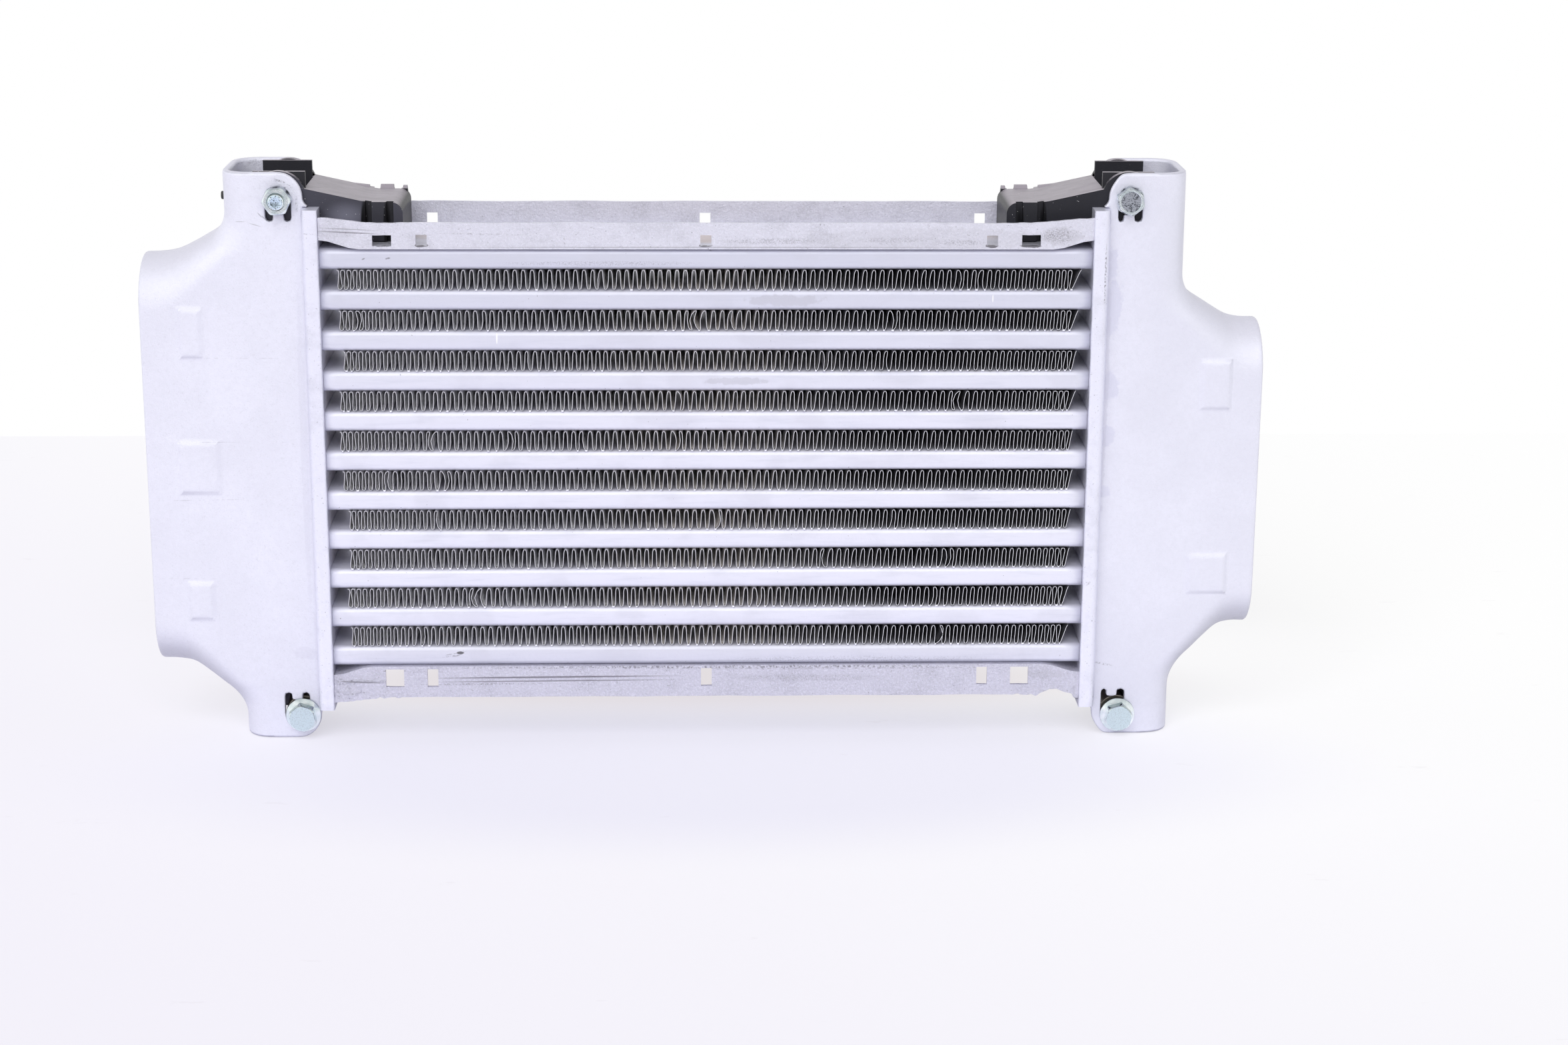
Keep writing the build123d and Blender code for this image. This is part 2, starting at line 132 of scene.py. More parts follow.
def linked(name, data):
    """A new object of the scene."""
    made = bpy.data.objects.new(name, data)
    bpy.context.scene.collection.objects.link(made)
    return made


def smoothed(mesh):
    """The mesh with all its faces shaded smooth."""
    mesh.polygons.foreach_set("use_smooth", np.ones(len(mesh.polygons), bool))
    return mesh


def put(name, mesh, material, slot, *nodes):
    """Show a finished mesh as one piece of the part, in place of its nodes."""
    piece = linked(name, mesh)
    if material is not None:
        mesh.materials.append(material)
    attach(piece, "root")
    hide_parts(*nodes)
    return piece


def unit(value):
    """The value held between 0 and 1."""
    return np.clip(value, 0, 1)


def eased(value):
    """A share with a soft start and end, 3 s^2 - 2 s^3."""
    return unit(value) ** 2 * (3 - 2 * unit(value))


def through(x, xs, ys):
    """Smooth curve through stations: cubic Hermite spans whose slopes are the mean slopes there."""
    slopes = np.gradient(ys, xs)
    i = np.clip(np.searchsorted(xs, x) - 1, 0, len(xs) - 2)
    span = xs[i + 1] - xs[i]
    t = unit((x - xs[i]) / span)
    low = ys[i] * (1 + 2 * t) * (1 - t) ** 2 + slopes[i] * span * t * (1 - t) ** 2
    return low + ys[i + 1] * t * t * (3 - 2 * t) + slopes[i + 1] * span * t * t * (t - 1)


def join(a, b, k):
    """Union of two distance fields, blended over k: the lesser, less (k - |a - b|)^2 / 4k."""
    overlap = np.maximum(k - np.abs(a - b), 0)
    return np.minimum(a, b) - overlap ** 2 / (4 * k)


def meet(a, b, k):
    """Common part of two distance fields, with its edge rounded over k."""
    return -join(-a, -b, k)


def corner(u, v, radius):
    """Distance to a quarter plane u < 0, v < 0 whose corner is an arc."""
    p = u + radius
    q = v + radius
    return np.hypot(np.maximum(p, 0), np.maximum(q, 0)) + np.minimum(np.maximum(p, q), 0) - radius


def outline(x, z, edges, inset, blend):
    """Distance to the side wall's outline in X and Z: the straight wall joined to the flare."""
    out = x - tank_out
    low = through(out, flare_stations, edges[0]) + inset
    high = tank_top - through(out, flare_stations, edges[1]) - inset
    return join(out + inset, np.abs(z - (low + high) / 2) - (high - low) / 2, blend)


def tank_field(x, y, z, edges, pads, blend):
    """Distance to the tank's wall for points in millimetres on the +X side, negative inside."""
    side = np.abs(y)
    up = np.abs(z - tank_mid)
    out = x - tank_out
    ear_base = tank_mid - ear_tall
    bolt_up = tank_mid - bolt_in
    half = tank_half - port_sink * through(out, flare_stations, flare_sink)
    radius = through(out, flare_stations, flare_radii)
    body = corner(outline(x, z, edges, 0.0, blend), side - half, radius)
    body = meet(body, out - port_out, 1.4)
    body = meet(body, up - tank_mid, 1.2)
    for x0, x1, z0, z1 in pads:
        pad = np.maximum(np.abs(out - (x0 + x1) / 2) - (x1 - x0) / 2,
                         np.abs(z - tank_mid - (z0 + z1) / 2) - (z1 - z0) / 2)
        plate = np.maximum(-pad_proud - tank_half - y, y + pad_back)
        body = join(body, meet(pad, plate, 2.2), 1.1)

    ear = corner(ear_edge - x, up - tank_mid, 10.0)
    rise = up - ear_base - foot_tall
    foot = np.maximum.reduce([ear_base - up, rise, foot_in - x, x - neck_out,
                              foot_tall - np.hypot(x - foot_in, rise)])
    core_side = np.where(up > ear_base, np.minimum(ear, foot), head_out + 0.1 - x)
    body = meet(body, core_side, 0.8)
    neck = np.maximum.reduce([neck_in - x, x - neck_out, side - tank_half, up - neck_up])
    flange = np.maximum.reduce([flange_in - x, x - flange_out, side - flange_half,
                                up - flange_up])
    body = np.minimum(body, np.minimum(neck, flange))

    inner = tank_half - wall
    hollow = corner(out + wall, side - inner, tank_corner - wall)
    closed = np.where(up > tank_mid - 13.8, -1e3, head_out - x)
    pocket = np.maximum.reduce([hollow, closed, tank_mid - pocket_deep - up])
    body = meet(body, -pocket, 1.0)
    slot = join(np.hypot(x - bolt_x, up - bolt_up) - window_half,
                np.maximum(np.abs(x - bolt_x) - window_half,
                           np.abs(up - bolt_up + window_down) - window_down), 0.1)
    notch = np.hypot(np.abs(x - bolt_x) - 3.4, up - bolt_up + 6.9) - 1.5
    tongue = np.maximum(np.abs(x - bolt_x) - 2.1, np.abs(up - bolt_up + 6.5) - 1.2)
    window = np.maximum.reduce([np.minimum(slot, notch), -tongue, y + inner - 0.5])
    hole = np.maximum(np.hypot(x - bolt_x, up - bolt_up) - hole_half, inner - 1 - y)
    body = meet(body, -np.minimum(window, hole), 0.6)

    limit = tank_mid - pocket_deep - chamber_gap
    throat = np.maximum.reduce([chamber_in - x, x - head_out - 1, side - inner])
    seat = np.maximum.reduce([chamber_in - x, x - flange_out, side - seat_half])
    mouth = corner(outline(x, z, edges, wall, blend), side - half + wall, radius - wall)
    mouth = np.maximum(mouth, head_out - x)
    air = np.maximum(np.minimum(np.minimum(throat, seat), mouth), up - limit)
    return meet(body, -air, 0.9)


def spread(x, z, push):
    """How far a point moves out. The side wall moves by the first push at the foot and the second
    at the top, growing smoothly from the bolts and dying away along the flare. The edge beside
    the core moves by the third."""
    size = push[0] + (push[1] - push[0]) * z / tank_top
    wide = eased((x - 166) / 16) * eased((tank_out + port_out - 0.5 - x) / 26)
    return size * wide + push[2] * eased((162 - x) / 6)


def held(moves, longest):
    """Moves shortened to a longest length, and otherwise left as they are."""
    return moves * np.minimum(1, longest / np.maximum(np.linalg.norm(moves, axis=0), 1e-9))


def make_tank(node, sign, edges, pads, push, material):
    """Remesh the cast solid evenly, then move each point p onto the smooth wall of its field f by
    Newton steps p - f grad f / |grad f|^2, and take the normals from grad f. The root of the
    flare is blended in stages, so that no point jumps to the other face of the thin wall. Last,
    x + spread(x, z) stands the side wall out, and the normals turn with it."""
    rough = linked(node + "_rough", merged_copy(node))
    remesh = rough.modifiers.new("even", "REMESH")
    remesh.mode = "VOXEL"
    remesh.voxel_size = voxel * mm
    ready = rough.evaluated_get(bpy.context.evaluated_depsgraph_get())
    evened = bpy.data.meshes.new_from_object(ready)
    bpy.data.objects.remove(rough)
    start = (points_of(evened) * (sign, 1, 1)).T
    places = start
    for blend in flare_blends:
        field = tank_field(*places, edges, pads, blend)
        ahead = (places + step * axis for axis in np.eye(3)[..., None])
        grad = np.array([tank_field(*near, edges, pads, blend) - field for near in ahead]) / step
        move = -field * grad / np.maximum((grad ** 2).sum(0), 0.25)
        places = places + held(move, longest_step)
    x, y, z = start + held(places - start, longest_way)
    out = spread(x, z, push)
    along = grad[0] / (1 + (spread(x + 0.1, z, push) - out) / 0.1)
    grad = np.array([along, grad[1], grad[2] - along * (spread(x, z + 0.1, push) - out) / 0.1])
    x += out
    normals = (grad / np.maximum(np.linalg.norm(grad, axis=0), 1e-9)).T * (sign, 1, 1)
    moved(evened, lambda points: np.array([x * sign, y, z]).T)
    smoothed(evened).normals_split_custom_set_from_vertices(normals.tolist())
    evened.update()
    return put(node + "_casting", evened, material, "cast_aluminium", node)


class Wire:
    """A shader value or colour. Operators on it add Math nodes, or Vector Math for colours."""

    def __init__(self, tree, socket):
        self.tree = tree
        self.socket = socket

    def node(self, kind, inputs=None, output=0, stops=None, **settings):
        """Add a node of a kind, with its settings first and then its inputs, and give an output."""
        made = self.tree.nodes.new("ShaderNode" + kind)
        for name, value in settings.items():
            setattr(made, name, value)
        if stops:
            ramp = made.color_ramp.elements
            while len(ramp) < len(stops):
                ramp.new(1.0)
            for element, (place, colour) in zip(ramp, stops):
                element.position = place
                element.color = colour
        for name, value in (inputs or {}).items():
            if isinstance(value, Wire):
                self.tree.links.new(value.socket, made.inputs[name])
            else:
                made.inputs[name].default_value = value
        return Wire(self.tree, made.outputs[output])

    def combine(self, operation, a, b):
        """One Math node, or one Vector Math node where either side is a colour or a vector."""
        def wide(value):
            if isinstance(value, Wire):
                return value.socket.type != "VALUE"
            return isinstance(value, tuple)

        if not (wide(a) or wide(b)):
            return self.node("Math", {0: a, 1: b}, operation=operation)
        a, b = ((value,) * 3 if isinstance(value, (int, float)) else value for value in (a, b))
        return self.node("VectorMath", {0: a, 1: b}, operation=operation)

    def __add__(self, other):
        return self.combine("ADD", self, other)

    def __sub__(self, other):
        return self.combine("SUBTRACT", self, other)

    def __rsub__(self, other):
        return self.combine("SUBTRACT", other, self)

    def __mul__(self, other):
        return self.combine("MULTIPLY", self, other)

    __radd__ = __add__
    __rmul__ = __mul__

    def __abs__(self):
        return self.node("Math", {0: self}, operation="ABSOLUTE")

    def part(self, k):
        """The x, y or z of a place or a direction."""
        return self.node("SeparateXYZ", {0: self}, output=k)

    def lean(self):
        """How far the surface faces up, from -1 to 1."""
        return self.node("NewGeometry", output=1).part(2)

    def ramp(self, low, high):
        """0 below low, 1 above high and smooth between. High may lie under low to turn it round."""
        return self.node("MapRange", {"Value": self, "From Min": low, "From Max": high},
                         interpolation_type="SMOOTHSTEP")

    def blend(self, a, b):
        """Colour a where this is 0 and colour b where it is 1."""
        a, b = ((*value, 1.0) if isinstance(value, tuple) else value for value in (a, b))
        return self.node("Mix", {0: self, 6: a, 7: b}, output=2, data_type="RGBA")

    def noise(self, scale, detail=3.0, roughness=0.55, stretch=(1.0, 1.0, 1.0)):
        """Noise whose grains are about 1 / scale millimetres, for a place in millimetres."""
        return self.node("TexNoise", {"Vector": self * stretch, "Scale": scale, "Detail": detail,
                                      "Roughness": roughness})

    def spot(self, centre, size, soft=0.5, ragged=0.0):
        """1 in a patch round a centre and 0 beyond it, with sizes along x, y and z."""
        away = (self - centre) * tuple(1 / part for part in size)
        away = away.node("VectorMath", {0: away}, output=1, operation="LENGTH")
        if ragged:
            away = away + (self.noise(0.35, 4.0) - 0.5) * ragged
        return away.ramp(1.0, 1.0 - soft)

    def slanted(self, centre, slope):
        """The place from a centre, turned so that a line of a slope in X and Z lies along x."""
        away = self - centre
        x, y, z = (away.part(k) for k in range(3))
        scale = 1 / math.hypot(1, slope)
        return away.node("CombineXYZ", {0: (x + z * slope) * scale, 1: y,
                                        2: (z - x * slope) * scale})


def finish_of(name, metallic, roughness, colour):
    """A material of one colour. Gives it with its shader and its place in millimetres."""
    material = bpy.data.materials.new(name)
    material.use_nodes = True
    tree = material.node_tree
    shader = tree.nodes["Principled BSDF"]
    shader.inputs["Metallic"].default_value = metallic
    shader.inputs["Roughness"].default_value = roughness
    shader.inputs["Base Color"].default_value = (*colour, 1.0)
    material.diffuse_color = (*colour, 1.0)
    place = Wire(tree, tree.nodes.new("ShaderNodeTexCoord").outputs["Object"]) * 1000.0
    return material, shader, place


def plug(node, name, wire):
    """Drive one input of a shader's node."""
    wire.tree.links.new(wire.socket, node.inputs[name])


def relief(shader, height, depth):
    """Bump: a height of 0 to 1 that stands for a depth in millimetres."""
    bump = height.node("Bump", {"Height": height, "Strength": 1.0, "Distance": depth * mm})
    plug(shader, "Normal", bump)


def stained(place, colour, marks, scratches):
    """The colour with ragged patches (centre, size, raggedness, strength, colour), stains and in
    places painted light and painted shade, and with dark lines (centre, size, slope, grain,
    strength) laid over it, broken where they have a grain."""
    for centre, size, ragged, depth, stain in marks:
        colour = (place.spot(centre, size, 0.3, ragged) * depth).blend(colour, stain)
    for centre, size, slope, grain, depth in scratches:
        line = place.slanted(centre, slope).spot((0.0, 0.0, 0.0), size, 0.6)
        if grain:
            line = line * place.noise(grain, 3.0, 0.7).ramp(0.45, 0.62)
        colour = (line * depth).blend(colour, (0.16, 0.15, 0.18))
    return colour


def scaled(tone, by):
    """A colour times one number or three, held to 1."""
    return tuple(np.minimum(1.0, np.multiply(tone, by)).tolist())


def on_face(y, deep, rows):
    """Stains or lines on a face at y, from rows of (x, z, wide, tall, ...), deep along Y."""
    return tuple(((x, y, z), (wide, deep, tall), *rest) for x, z, wide, tall, *rest in rows)


def cast_skin(name, tone, grit, marks, scratches):
    """Blasted cast skin: grain of a given grit, faint cloudy tone, painted shade on what faces up
    or down and low down, and stains, painted shade and scratches at given places."""
    material, shader, place = finish_of(name, 0.55, 0.46, tone)
    cloud = place.noise(0.035, 4.0).ramp(0.35, 0.7)
    colour = cloud.blend(scaled(tone, 0.95), tone)
    mottle = place.noise(0.6, 4.0, 0.7).ramp(0.35, 0.7) * 0.35
    colour = mottle.blend(colour, scaled(tone, 0.90))
    fleck = place.noise(1.5, 2.0).ramp(0.58, 0.74) * 0.24 * grit
    colour = fleck.blend(colour, scaled(tone, 0.66))
    lean = place.lean()
    # Painted shade: what faces up or down is painted darker.
    facing_tone = (lean * lean).ramp(0.06, 0.7) * (cloud * 0.3 + 0.7)
    colour = (facing_tone * 0.34).blend(colour, scaled(tone, (0.56, 0.54, 0.56)))
    # Painted shade: darker towards the bottom and on the undersides.
    low = place.part(2).ramp(75.0, 0.0) * 0.14 + lean.ramp(-0.1, -0.7) * 0.4
    colour = low.blend(colour, scaled(tone, (0.50, 0.50, 0.54)))
    plug(shader, "Base Color", stained(place, colour, marks, scratches))
    plug(shader, "Roughness", place.noise(0.5, 3.0) * 0.16 + 0.38)
    grain = place.noise(1.9, 4.0, 0.7) * 0.6 + place.noise(0.5, 2.0) * 0.4
    relief(shader, grain, 0.26 * grit + 0.10)
    return material


silver = (0.80, 0.80, 0.905)
# The right tank's silver is painted darker than the left's, as painted shade.
shaded_smooth_silver = (0.775, 0.775, 0.88)
shade = (0.60, 0.59, 0.70)
lilac = (0.60, 0.60, 0.75)
left_marks = (
    ((-bolt_x, -21.0, 217.0), (9.0, 6.0, 9.0), 1.1, 0.25, shade),
    ((-157.5, -21.0, 120.0), (1.6, 8.0, 70.0), 0.9, 0.18, shade),
    # Painted shade inside the open U at the top of the ear.
    ((-168.0, 0.0, 224.0), (14.0, 19.0, 8.0), 1.6, 0.50, (0.34, 0.34, 0.40)),
    ((-160.0, -21.0, 36.0), (5.0, 6.0, 3.0), 1.2, 0.25, shade),
)
left_scratches = on_face(-21.0, 3.0, (
    (-156.8, 216.5, 0.7, 4.5, 0.0, 0.7, 0.55),
    (-157.9, 211.8, 0.5, 1.8, 0.5, 0.7, 0.50),
    (-158.8, 223.3, 2.0, 0.5, -0.75, 0.7, 0.50),
    (-162.6, 225.5, 2.6, 0.6, -0.25, 1.2, 0.70),
    (-179.0, 209.7, 3.0, 0.25, 0.05, 0.0, 0.35),
    (-173.0, 208.6, 3.0, 0.25, -0.30, 0.0, 0.35),
    (-171.0, 212.4, 0.3, 1.7, 0.9, 0.0, 0.45),
    (-169.6, 211.4, 0.3, 1.3, 0.9, 0.0, 0.45),
)) + on_face(-20.0, 4.0, (
    (-184.0, 156.3, 30.0, 0.3, 0.0, 0.3, 0.16),
    (-198.0, 122.7, 20.0, 0.3, 0.0, 0.3, 0.22),
    (-198.0, 99.2, 24.0, 0.3, 0.02, 0.3, 0.20),
    (-205.0, 66.9, 15.0, 0.3, 0.0, 0.3, 0.16),
))
right_marks = on_face(-21.0, 6.0, (
    (157.6, 193.0, 3.2, 8.0, 1.3, 0.45, lilac),
    (158.4, 176.0, 4.6, 13.0, 1.3, 0.45, lilac),
    (158.8, 144.5, 4.4, 6.5, 1.0, 0.45, lilac),
    (158.2, 124.5, 3.6, 5.0, 1.0, 0.42, lilac),
    (157.6, 102.0, 3.2, 3.0, 1.0, 0.38, lilac),
    (157.0, 150.0, 1.4, 60.0, 1.2, 0.35, shade),
))
right_scratches = on_face(-21.0, 3.0, (
    (155.3, 192.0, 0.6, 10.0, 0.0, 1.2, 0.95),
    (160.0, 30.0, 5.0, 0.7, -0.2, 0.9, 0.40),
))
left_skin = cast_skin("left_casting_skin", silver, 1.0, left_marks, left_scratches)
right_skin = cast_skin("right_casting_skin", shaded_smooth_silver, 0.5, right_marks, right_scratches)
left_push = (0.9, 1.6, 0.0)
right_push = (3.6, 2.6, 1.4)
make_tank("left_tank", -1, left_edges, left_pads, left_push, left_skin)
make_tank("right_tank", 1, right_edges, right_pads, right_push, right_skin)


# ---- headers
# Slotted aluminium plates whose long edges are rolled round the foot of each tank. They are
# welded to the tank and brazed to the tubes, and have a dull, slightly pitted skin.

crease = math.radians(38)


def softened(node, name, slot, material, width, mesh=None):
    """The node, or a finer mesh of it, with its edges broken by a small bevel."""
    piece = put(name, mesh or merged_copy(node), material, slot, node)
    bevel = piece.modifiers.new("broken_edges", "BEVEL")
    bevel.width = width * mm
    bevel.segments = 2
    bevel.limit_method = "ANGLE"
    bevel.angle_limit = crease
    bevel.harden_normals = True
    smoothed(piece.data).set_sharp_from_angle(angle=crease)
    return piece


def sheet_skin(name, tone, crusty, marks, scratches):
    """Brazed sheet: grey bloom, a rough crust of flux, dark pits, stains, patches of painted light
    and scratches.
    """
    material, shader, place = finish_of(name, 0.55, 0.42, tone)
    bloom = place.noise(0.09, 5.0, 0.65).ramp(0.45, 0.70)
    colour = (bloom * 0.55).blend(tone, scaled(tone, 0.80))
    crust = place.noise(1.1, 5.0, 0.75).ramp(0.46, 0.62)
    colour = (crust * 0.5 * crusty).blend(colour, scaled(tone, 1.14))
    pits = place.noise(1.3, 3.0, 0.6).ramp(0.645, 0.72)
    colour = (pits * 0.55).blend(colour, (0.22, 0.21, 0.25))
    plug(shader, "Base Color", stained(place, colour, marks, scratches))
    plug(shader, "Roughness", bloom * 0.14 + 0.34)
    relief(shader, place.noise(0.9, 5.0, 0.75), 0.25 + 0.35 * crusty)
    return material


header_scratches = on_face(-27.0, 4.0, (
    (-151.5, 206.0, 3.5, 0.35, -0.1, 0.9, 0.7),
    (154.6, 190.0, 0.5, 16.0, 0.0, 1.1, 0.9),
    (152.0, 66.0, 1.2, 1.0, 0.0, 1.1, 0.6),
))
# Painted light: the headers' inner faces between the tubes are painted lighter.
header_painted_light = tuple(((x, 0.0, 116.0), (2.0, 25.5, 95.0), 0.2, 0.85, (0.92, 0.89, 0.92))
                     for x in (-148.0, 148.0))
header_tone = (0.79, 0.79, 0.91)
header_skin = sheet_skin("rolled_header_skin", header_tone, 0.2, header_painted_light, header_scratches)
for side, lead in (("left", 0.0), ("right", 1.3)):
    sheet = moved(merged_copy(side + "_header"), lambda points: points + (lead, 0.0, 0.0))
    softened(side + "_header", side + "_rolled_header", "sheet_aluminium", header_skin, 0.9, sheet)


# ---- side plates
# Two folded channels that close the core above and below. They are cut from sheet, slotted,
# and brazed down with the core; braze and soot have stained them.

def mesh_of(name, points, faces):
    """A mesh of faces over points in millimetres, two arrays."""
    mesh = bpy.data.meshes.new(name)
    mesh.from_pydata((points * mm).tolist(), [], faces.tolist())
    return mesh


def ring_faces(count, size):
    """Quads between neighbouring rings of points, for rings that are closed loops."""
    here = np.arange(count * size).reshape(count, size)
    return np.stack([here[:-1], np.roll(here[:-1], -1, 1), np.roll(here[1:], -1, 1), here[1:]],
                    -1).reshape(-1, 4)


def joined(mesh, extra):
    """The mesh with another one's faces added to it. The other one is then removed."""
    reworked(mesh, lambda work: work.from_mesh(extra))
    bpy.data.meshes.remove(extra)
    return mesh


def waver(places, seed, reach, low, high):
    """Sum of six sines of a place in millimetres, with wavelengths between low and high."""
    rng = np.random.default_rng(seed)
    total = np.zeros_like(places)
    for _ in range(6):
        height = rng.normal(0, reach / 2.2)
        total += height * np.sin(2 * np.pi * (places / rng.uniform(low, high) + rng.uniform()))
    return total


def lumps(centres, sizes, seed):
    """Lumps of braze, each a sphere of seven rings of ten points, whose radius wavers by a fifth.
    Gives the points in millimetres and their quads."""
    high, around = 7, 10
    rng = np.random.default_rng(seed)
    turn = np.arange(around) / around * 2 * np.pi
    rise = ((np.arange(high) / (high - 1) - 0.5) * np.pi * 0.98)[:, None]
    ball = np.stack([np.cos(rise) * np.cos(turn), np.cos(rise) * np.sin(turn),
                     np.repeat(np.sin(rise), around, 1)], -1)
    rough = 1 + rng.uniform(-0.2, 0.2, (len(centres), high, around, 1))
    points = centres[:, None, None, :] + ball * rough * sizes[:, None, None, :]
    starts = np.arange(len(centres))[:, None, None] * high * around
    return points.reshape(-1, 3), (ring_faces(high, around) + starts).reshape(-1, 4)


def crumpled(node, cuts_x, cuts_z, bend, beads):
    """The folded sheet, cut across at many planes and then moved by bend(x, y, z) in
    millimetres, with beads of weld added at its ends."""
    def cut_across(work):
        for axis, cuts in ((0, cuts_x), (2, cuts_z)):
            normal = [float(axis == k) for k in range(3)]
            for cut in cuts:
                every = work.verts[:] + work.edges[:] + work.faces[:]
                bmesh.ops.bisect_plane(work, geom=every, plane_co=[cut * mm * n for n in normal],
                                       plane_no=normal)

    mesh = reworked(merged_copy(node), cut_across)
    moved(mesh, lambda points: points + np.stack(bend(*points.T), -1))
    return joined(mesh, mesh_of(node + "_beads", *lumps(*beads)))


def stretched(x):
    """How far the plates' right ends reach further out, growing smoothly along X."""
    return 1.4 * eased((x - 40) / 60)


plate_end = 149.4


def bend_upper(x, y, z):
    """Slow waves in the flanges and a wavy free edge, more so at the ends."""
    flange = unit((z - 201.5) / 6)
    ends = 0.35 + 0.65 * unit((np.abs(x) - 95) / 30)
    dz = flange * (waver(x, 41, 0.10, 14, 60) + ends * waver(x, 42, 0.12, 5, 12))
    dy = np.sign(y) * np.minimum(0, flange * ends * waver(x + z, 43, 0.18, 9, 30))
    return stretched(x), dy * (np.abs(y) > 24), dz


def bend_lower(x, y, z):
    """Slow waves in the flanges, and an edge torn ragged near both ends. The notch near the right
    end is drawn down and outward, and the thin spur below it is pushed back into the end."""
    flange = unit((30.5 - z) / 6)
    notch = unit((x - 129.5) / 3) * unit((148.2 - x) / 4) * (y < -24)
    rise = np.clip(z - 19.0, 0, 10)
    ends = unit((np.abs(x) - 112) / 12)
    torn = unit((24 - z) / 4) * ends * (y < 0)
    dz = flange * waver(x, 51, 0.10, 14, 60) + torn * waver(x, 52, 0.30, 2.5, 7)
    dz = dz - notch * np.minimum(0.5 * rise, 2.4 * (10 - rise) / 5.2)
    dy = flange * (waver(x + z, 53, 0.10, 12, 40) + ends * waver(x + 2 * z, 54, 0.40, 4, 9))
    dx = torn * waver(z, 55, 0.2, 3, 6) + stretched(x) + 1.4 * notch * unit((29 - z) / 5)
    spur = (z < 17.6) & (x > 139) & (x < 145.9) & (y < -24)
    dx = np.where(spur, plate_end - x, dx)
    return dx, np.maximum(dy, 0) * (y < -24), dz


def bead_row(xs, zs, size, y=-25.9):
    """Beads at places along a flange, each a little longer than it is deep."""
    centres = np.stack([xs, np.full_like(xs, y), zs], -1)
    return centres, np.stack([size * 1.25, size * 0.55, size], -1)


wide_slot = -124.2
narrow_slot = -109.2
edge_rng = np.random.default_rng(60)
drip_run = np.linspace(-147.2, -139.0, 9)
drips = bead_row(drip_run, 20.6 + 0.9 * np.sin(drip_run * 1.3), edge_rng.uniform(0.9, 1.7, 9))
left_run = np.linspace(-138.0, -129.0, 7)
left_edge = bead_row(left_run, 19.9 + 0.4 * np.sin(left_run * 0.9), edge_rng.uniform(0.5, 0.8, 7))
ridge_run = np.linspace(-146.5, -128.6, 26)
left_ridge = bead_row(ridge_run, 25.4 + 0.05 * (ridge_run + 146) + edge_rng.normal(0, 0.22, 26),
                      edge_rng.uniform(0.45, 0.95, 26), -26.3)
weld_run = np.linspace(-120.0, -3.5, 110)
lower_weld = bead_row(weld_run, 26.3 + 0.006 * (weld_run + 120) + edge_rng.normal(0, 0.05, 110),
                      edge_rng.uniform(0.16, 0.34, 110), -26.4)
clear = (np.abs(weld_run - narrow_slot) > 3.4) & (np.abs(weld_run - wide_slot) > 5.0)
lower_weld = [part[clear] for part in lower_weld]
seam_run = np.linspace(-147.5, -124.5, 34)
upper_seam = bead_row(seam_run, 207.5 - 0.045 * (seam_run + 147),
                      edge_rng.uniform(0.22, 0.4, 34), -26.3)

soot = (0.07, 0.06, 0.07)
upper_marks = (
    # Painted light: the inside of the channel is painted warm, for the warm bounce light seen
    # through its slots.
    ((0.0, 0.0, 200.0), (150.0, 23.5, 5.0), 0.1, 0.75, (0.64, 0.54, 0.52)),
) + on_face(-27.0, 4.0, (
    (137.0, 205.0, 9.0, 4.5, 1.4, 0.18, (0.42, 0.41, 0.45)),
    (86.0, 204.0, 60.0, 5.0, 0.8, 0.16, (0.42, 0.41, 0.45)),
    (-141.0, 206.5, 8.0, 2.2, 1.9, 0.18, (0.45, 0.44, 0.49)),
    (-124.2, 201.9, 4.6, 0.8, 1.3, 0.75, soot),
    (-109.1, 201.7, 2.6, 0.8, 1.3, 0.80, soot),
    (0.0, 201.6, 3.0, 0.9, 1.3, 0.80, soot),
    (110.5, 201.5, 2.8, 0.9, 1.3, 0.80, soot),
    (125.6, 201.5, 4.8, 0.9, 1.3, 0.75, soot),
))
upper_scratches = on_face(-27.0, 4.0, (
    (-137.0, 206.6, 15.0, 0.35, -0.045, 0.0, 0.65),
    (-137.0, 207.9, 15.0, 0.28, -0.045, 0.0, 0.45),
    (136.0, 205.5, 9.0, 4.0, 0.0, 2.6, 0.60),
    (0.0, 200.9, 130.0, 0.35, 0.0, 0.0, 0.35),
    (24.0, 203.3, 24.0, 1.6, 0.0, 2.4, 0.42),
    (72.0, 203.8, 20.0, 1.4, 0.0, 2.4, 0.30),
    (98.0, 202.8, 12.0, 1.6, 0.0, 2.4, 0.45),
    (-84.0, 206.0, 26.0, 0.5, -0.02, 1.2, 0.30),
))
lower_marks = on_face(-27.0, 4.0, (
    (-137.0, 25.6, 10.0, 1.0, 1.2, 0.30, (0.42, 0.42, 0.47)),
    (-124.2, 30.0, 4.4, 0.7, 1.2, 0.75, soot),
    (-109.1, 30.0, 2.4, 0.6, 1.2, 0.70, soot),
    (136.0, 27.5, 10.0, 2.0, 1.6, 0.15, (0.42, 0.41, 0.46)),
))
lower_scratches = on_face(-27.0, 4.0, (
    (-61.5, 27.2, 60.0, 0.50, 0.006, 0.0, 0.80),
    (-61.5, 25.6, 60.0, 0.40, 0.006, 0.0, 0.65),
    (-138.0, 25.4, 11.0, 0.45, -0.05, 0.0, 0.60),
    (-140.0, 20.6, 6.5, 0.40, 0.10, 1.2, 0.60),
    (0.0, 31.2, 145.0, 0.80, 0.0, 0.9, 0.70),
    (-90.0, 24.4, 34.0, 0.5, 0.006, 1.6, 0.50),
    (40.0, 26.5, 42.0, 2.0, 0.0, 2.2, 0.35),
    (60.0, 30.4, 88.0, 0.35, 0.0, 0.8, 0.45),
))
lower_beads = [np.concatenate(parts) for parts in zip(drips, left_edge, left_ridge, lower_weld)]
cuts = np.concatenate([np.arange(-147, -110, 1.5), np.arange(-108, 109, 9.0),
                       np.arange(111, 148, 1.5)])
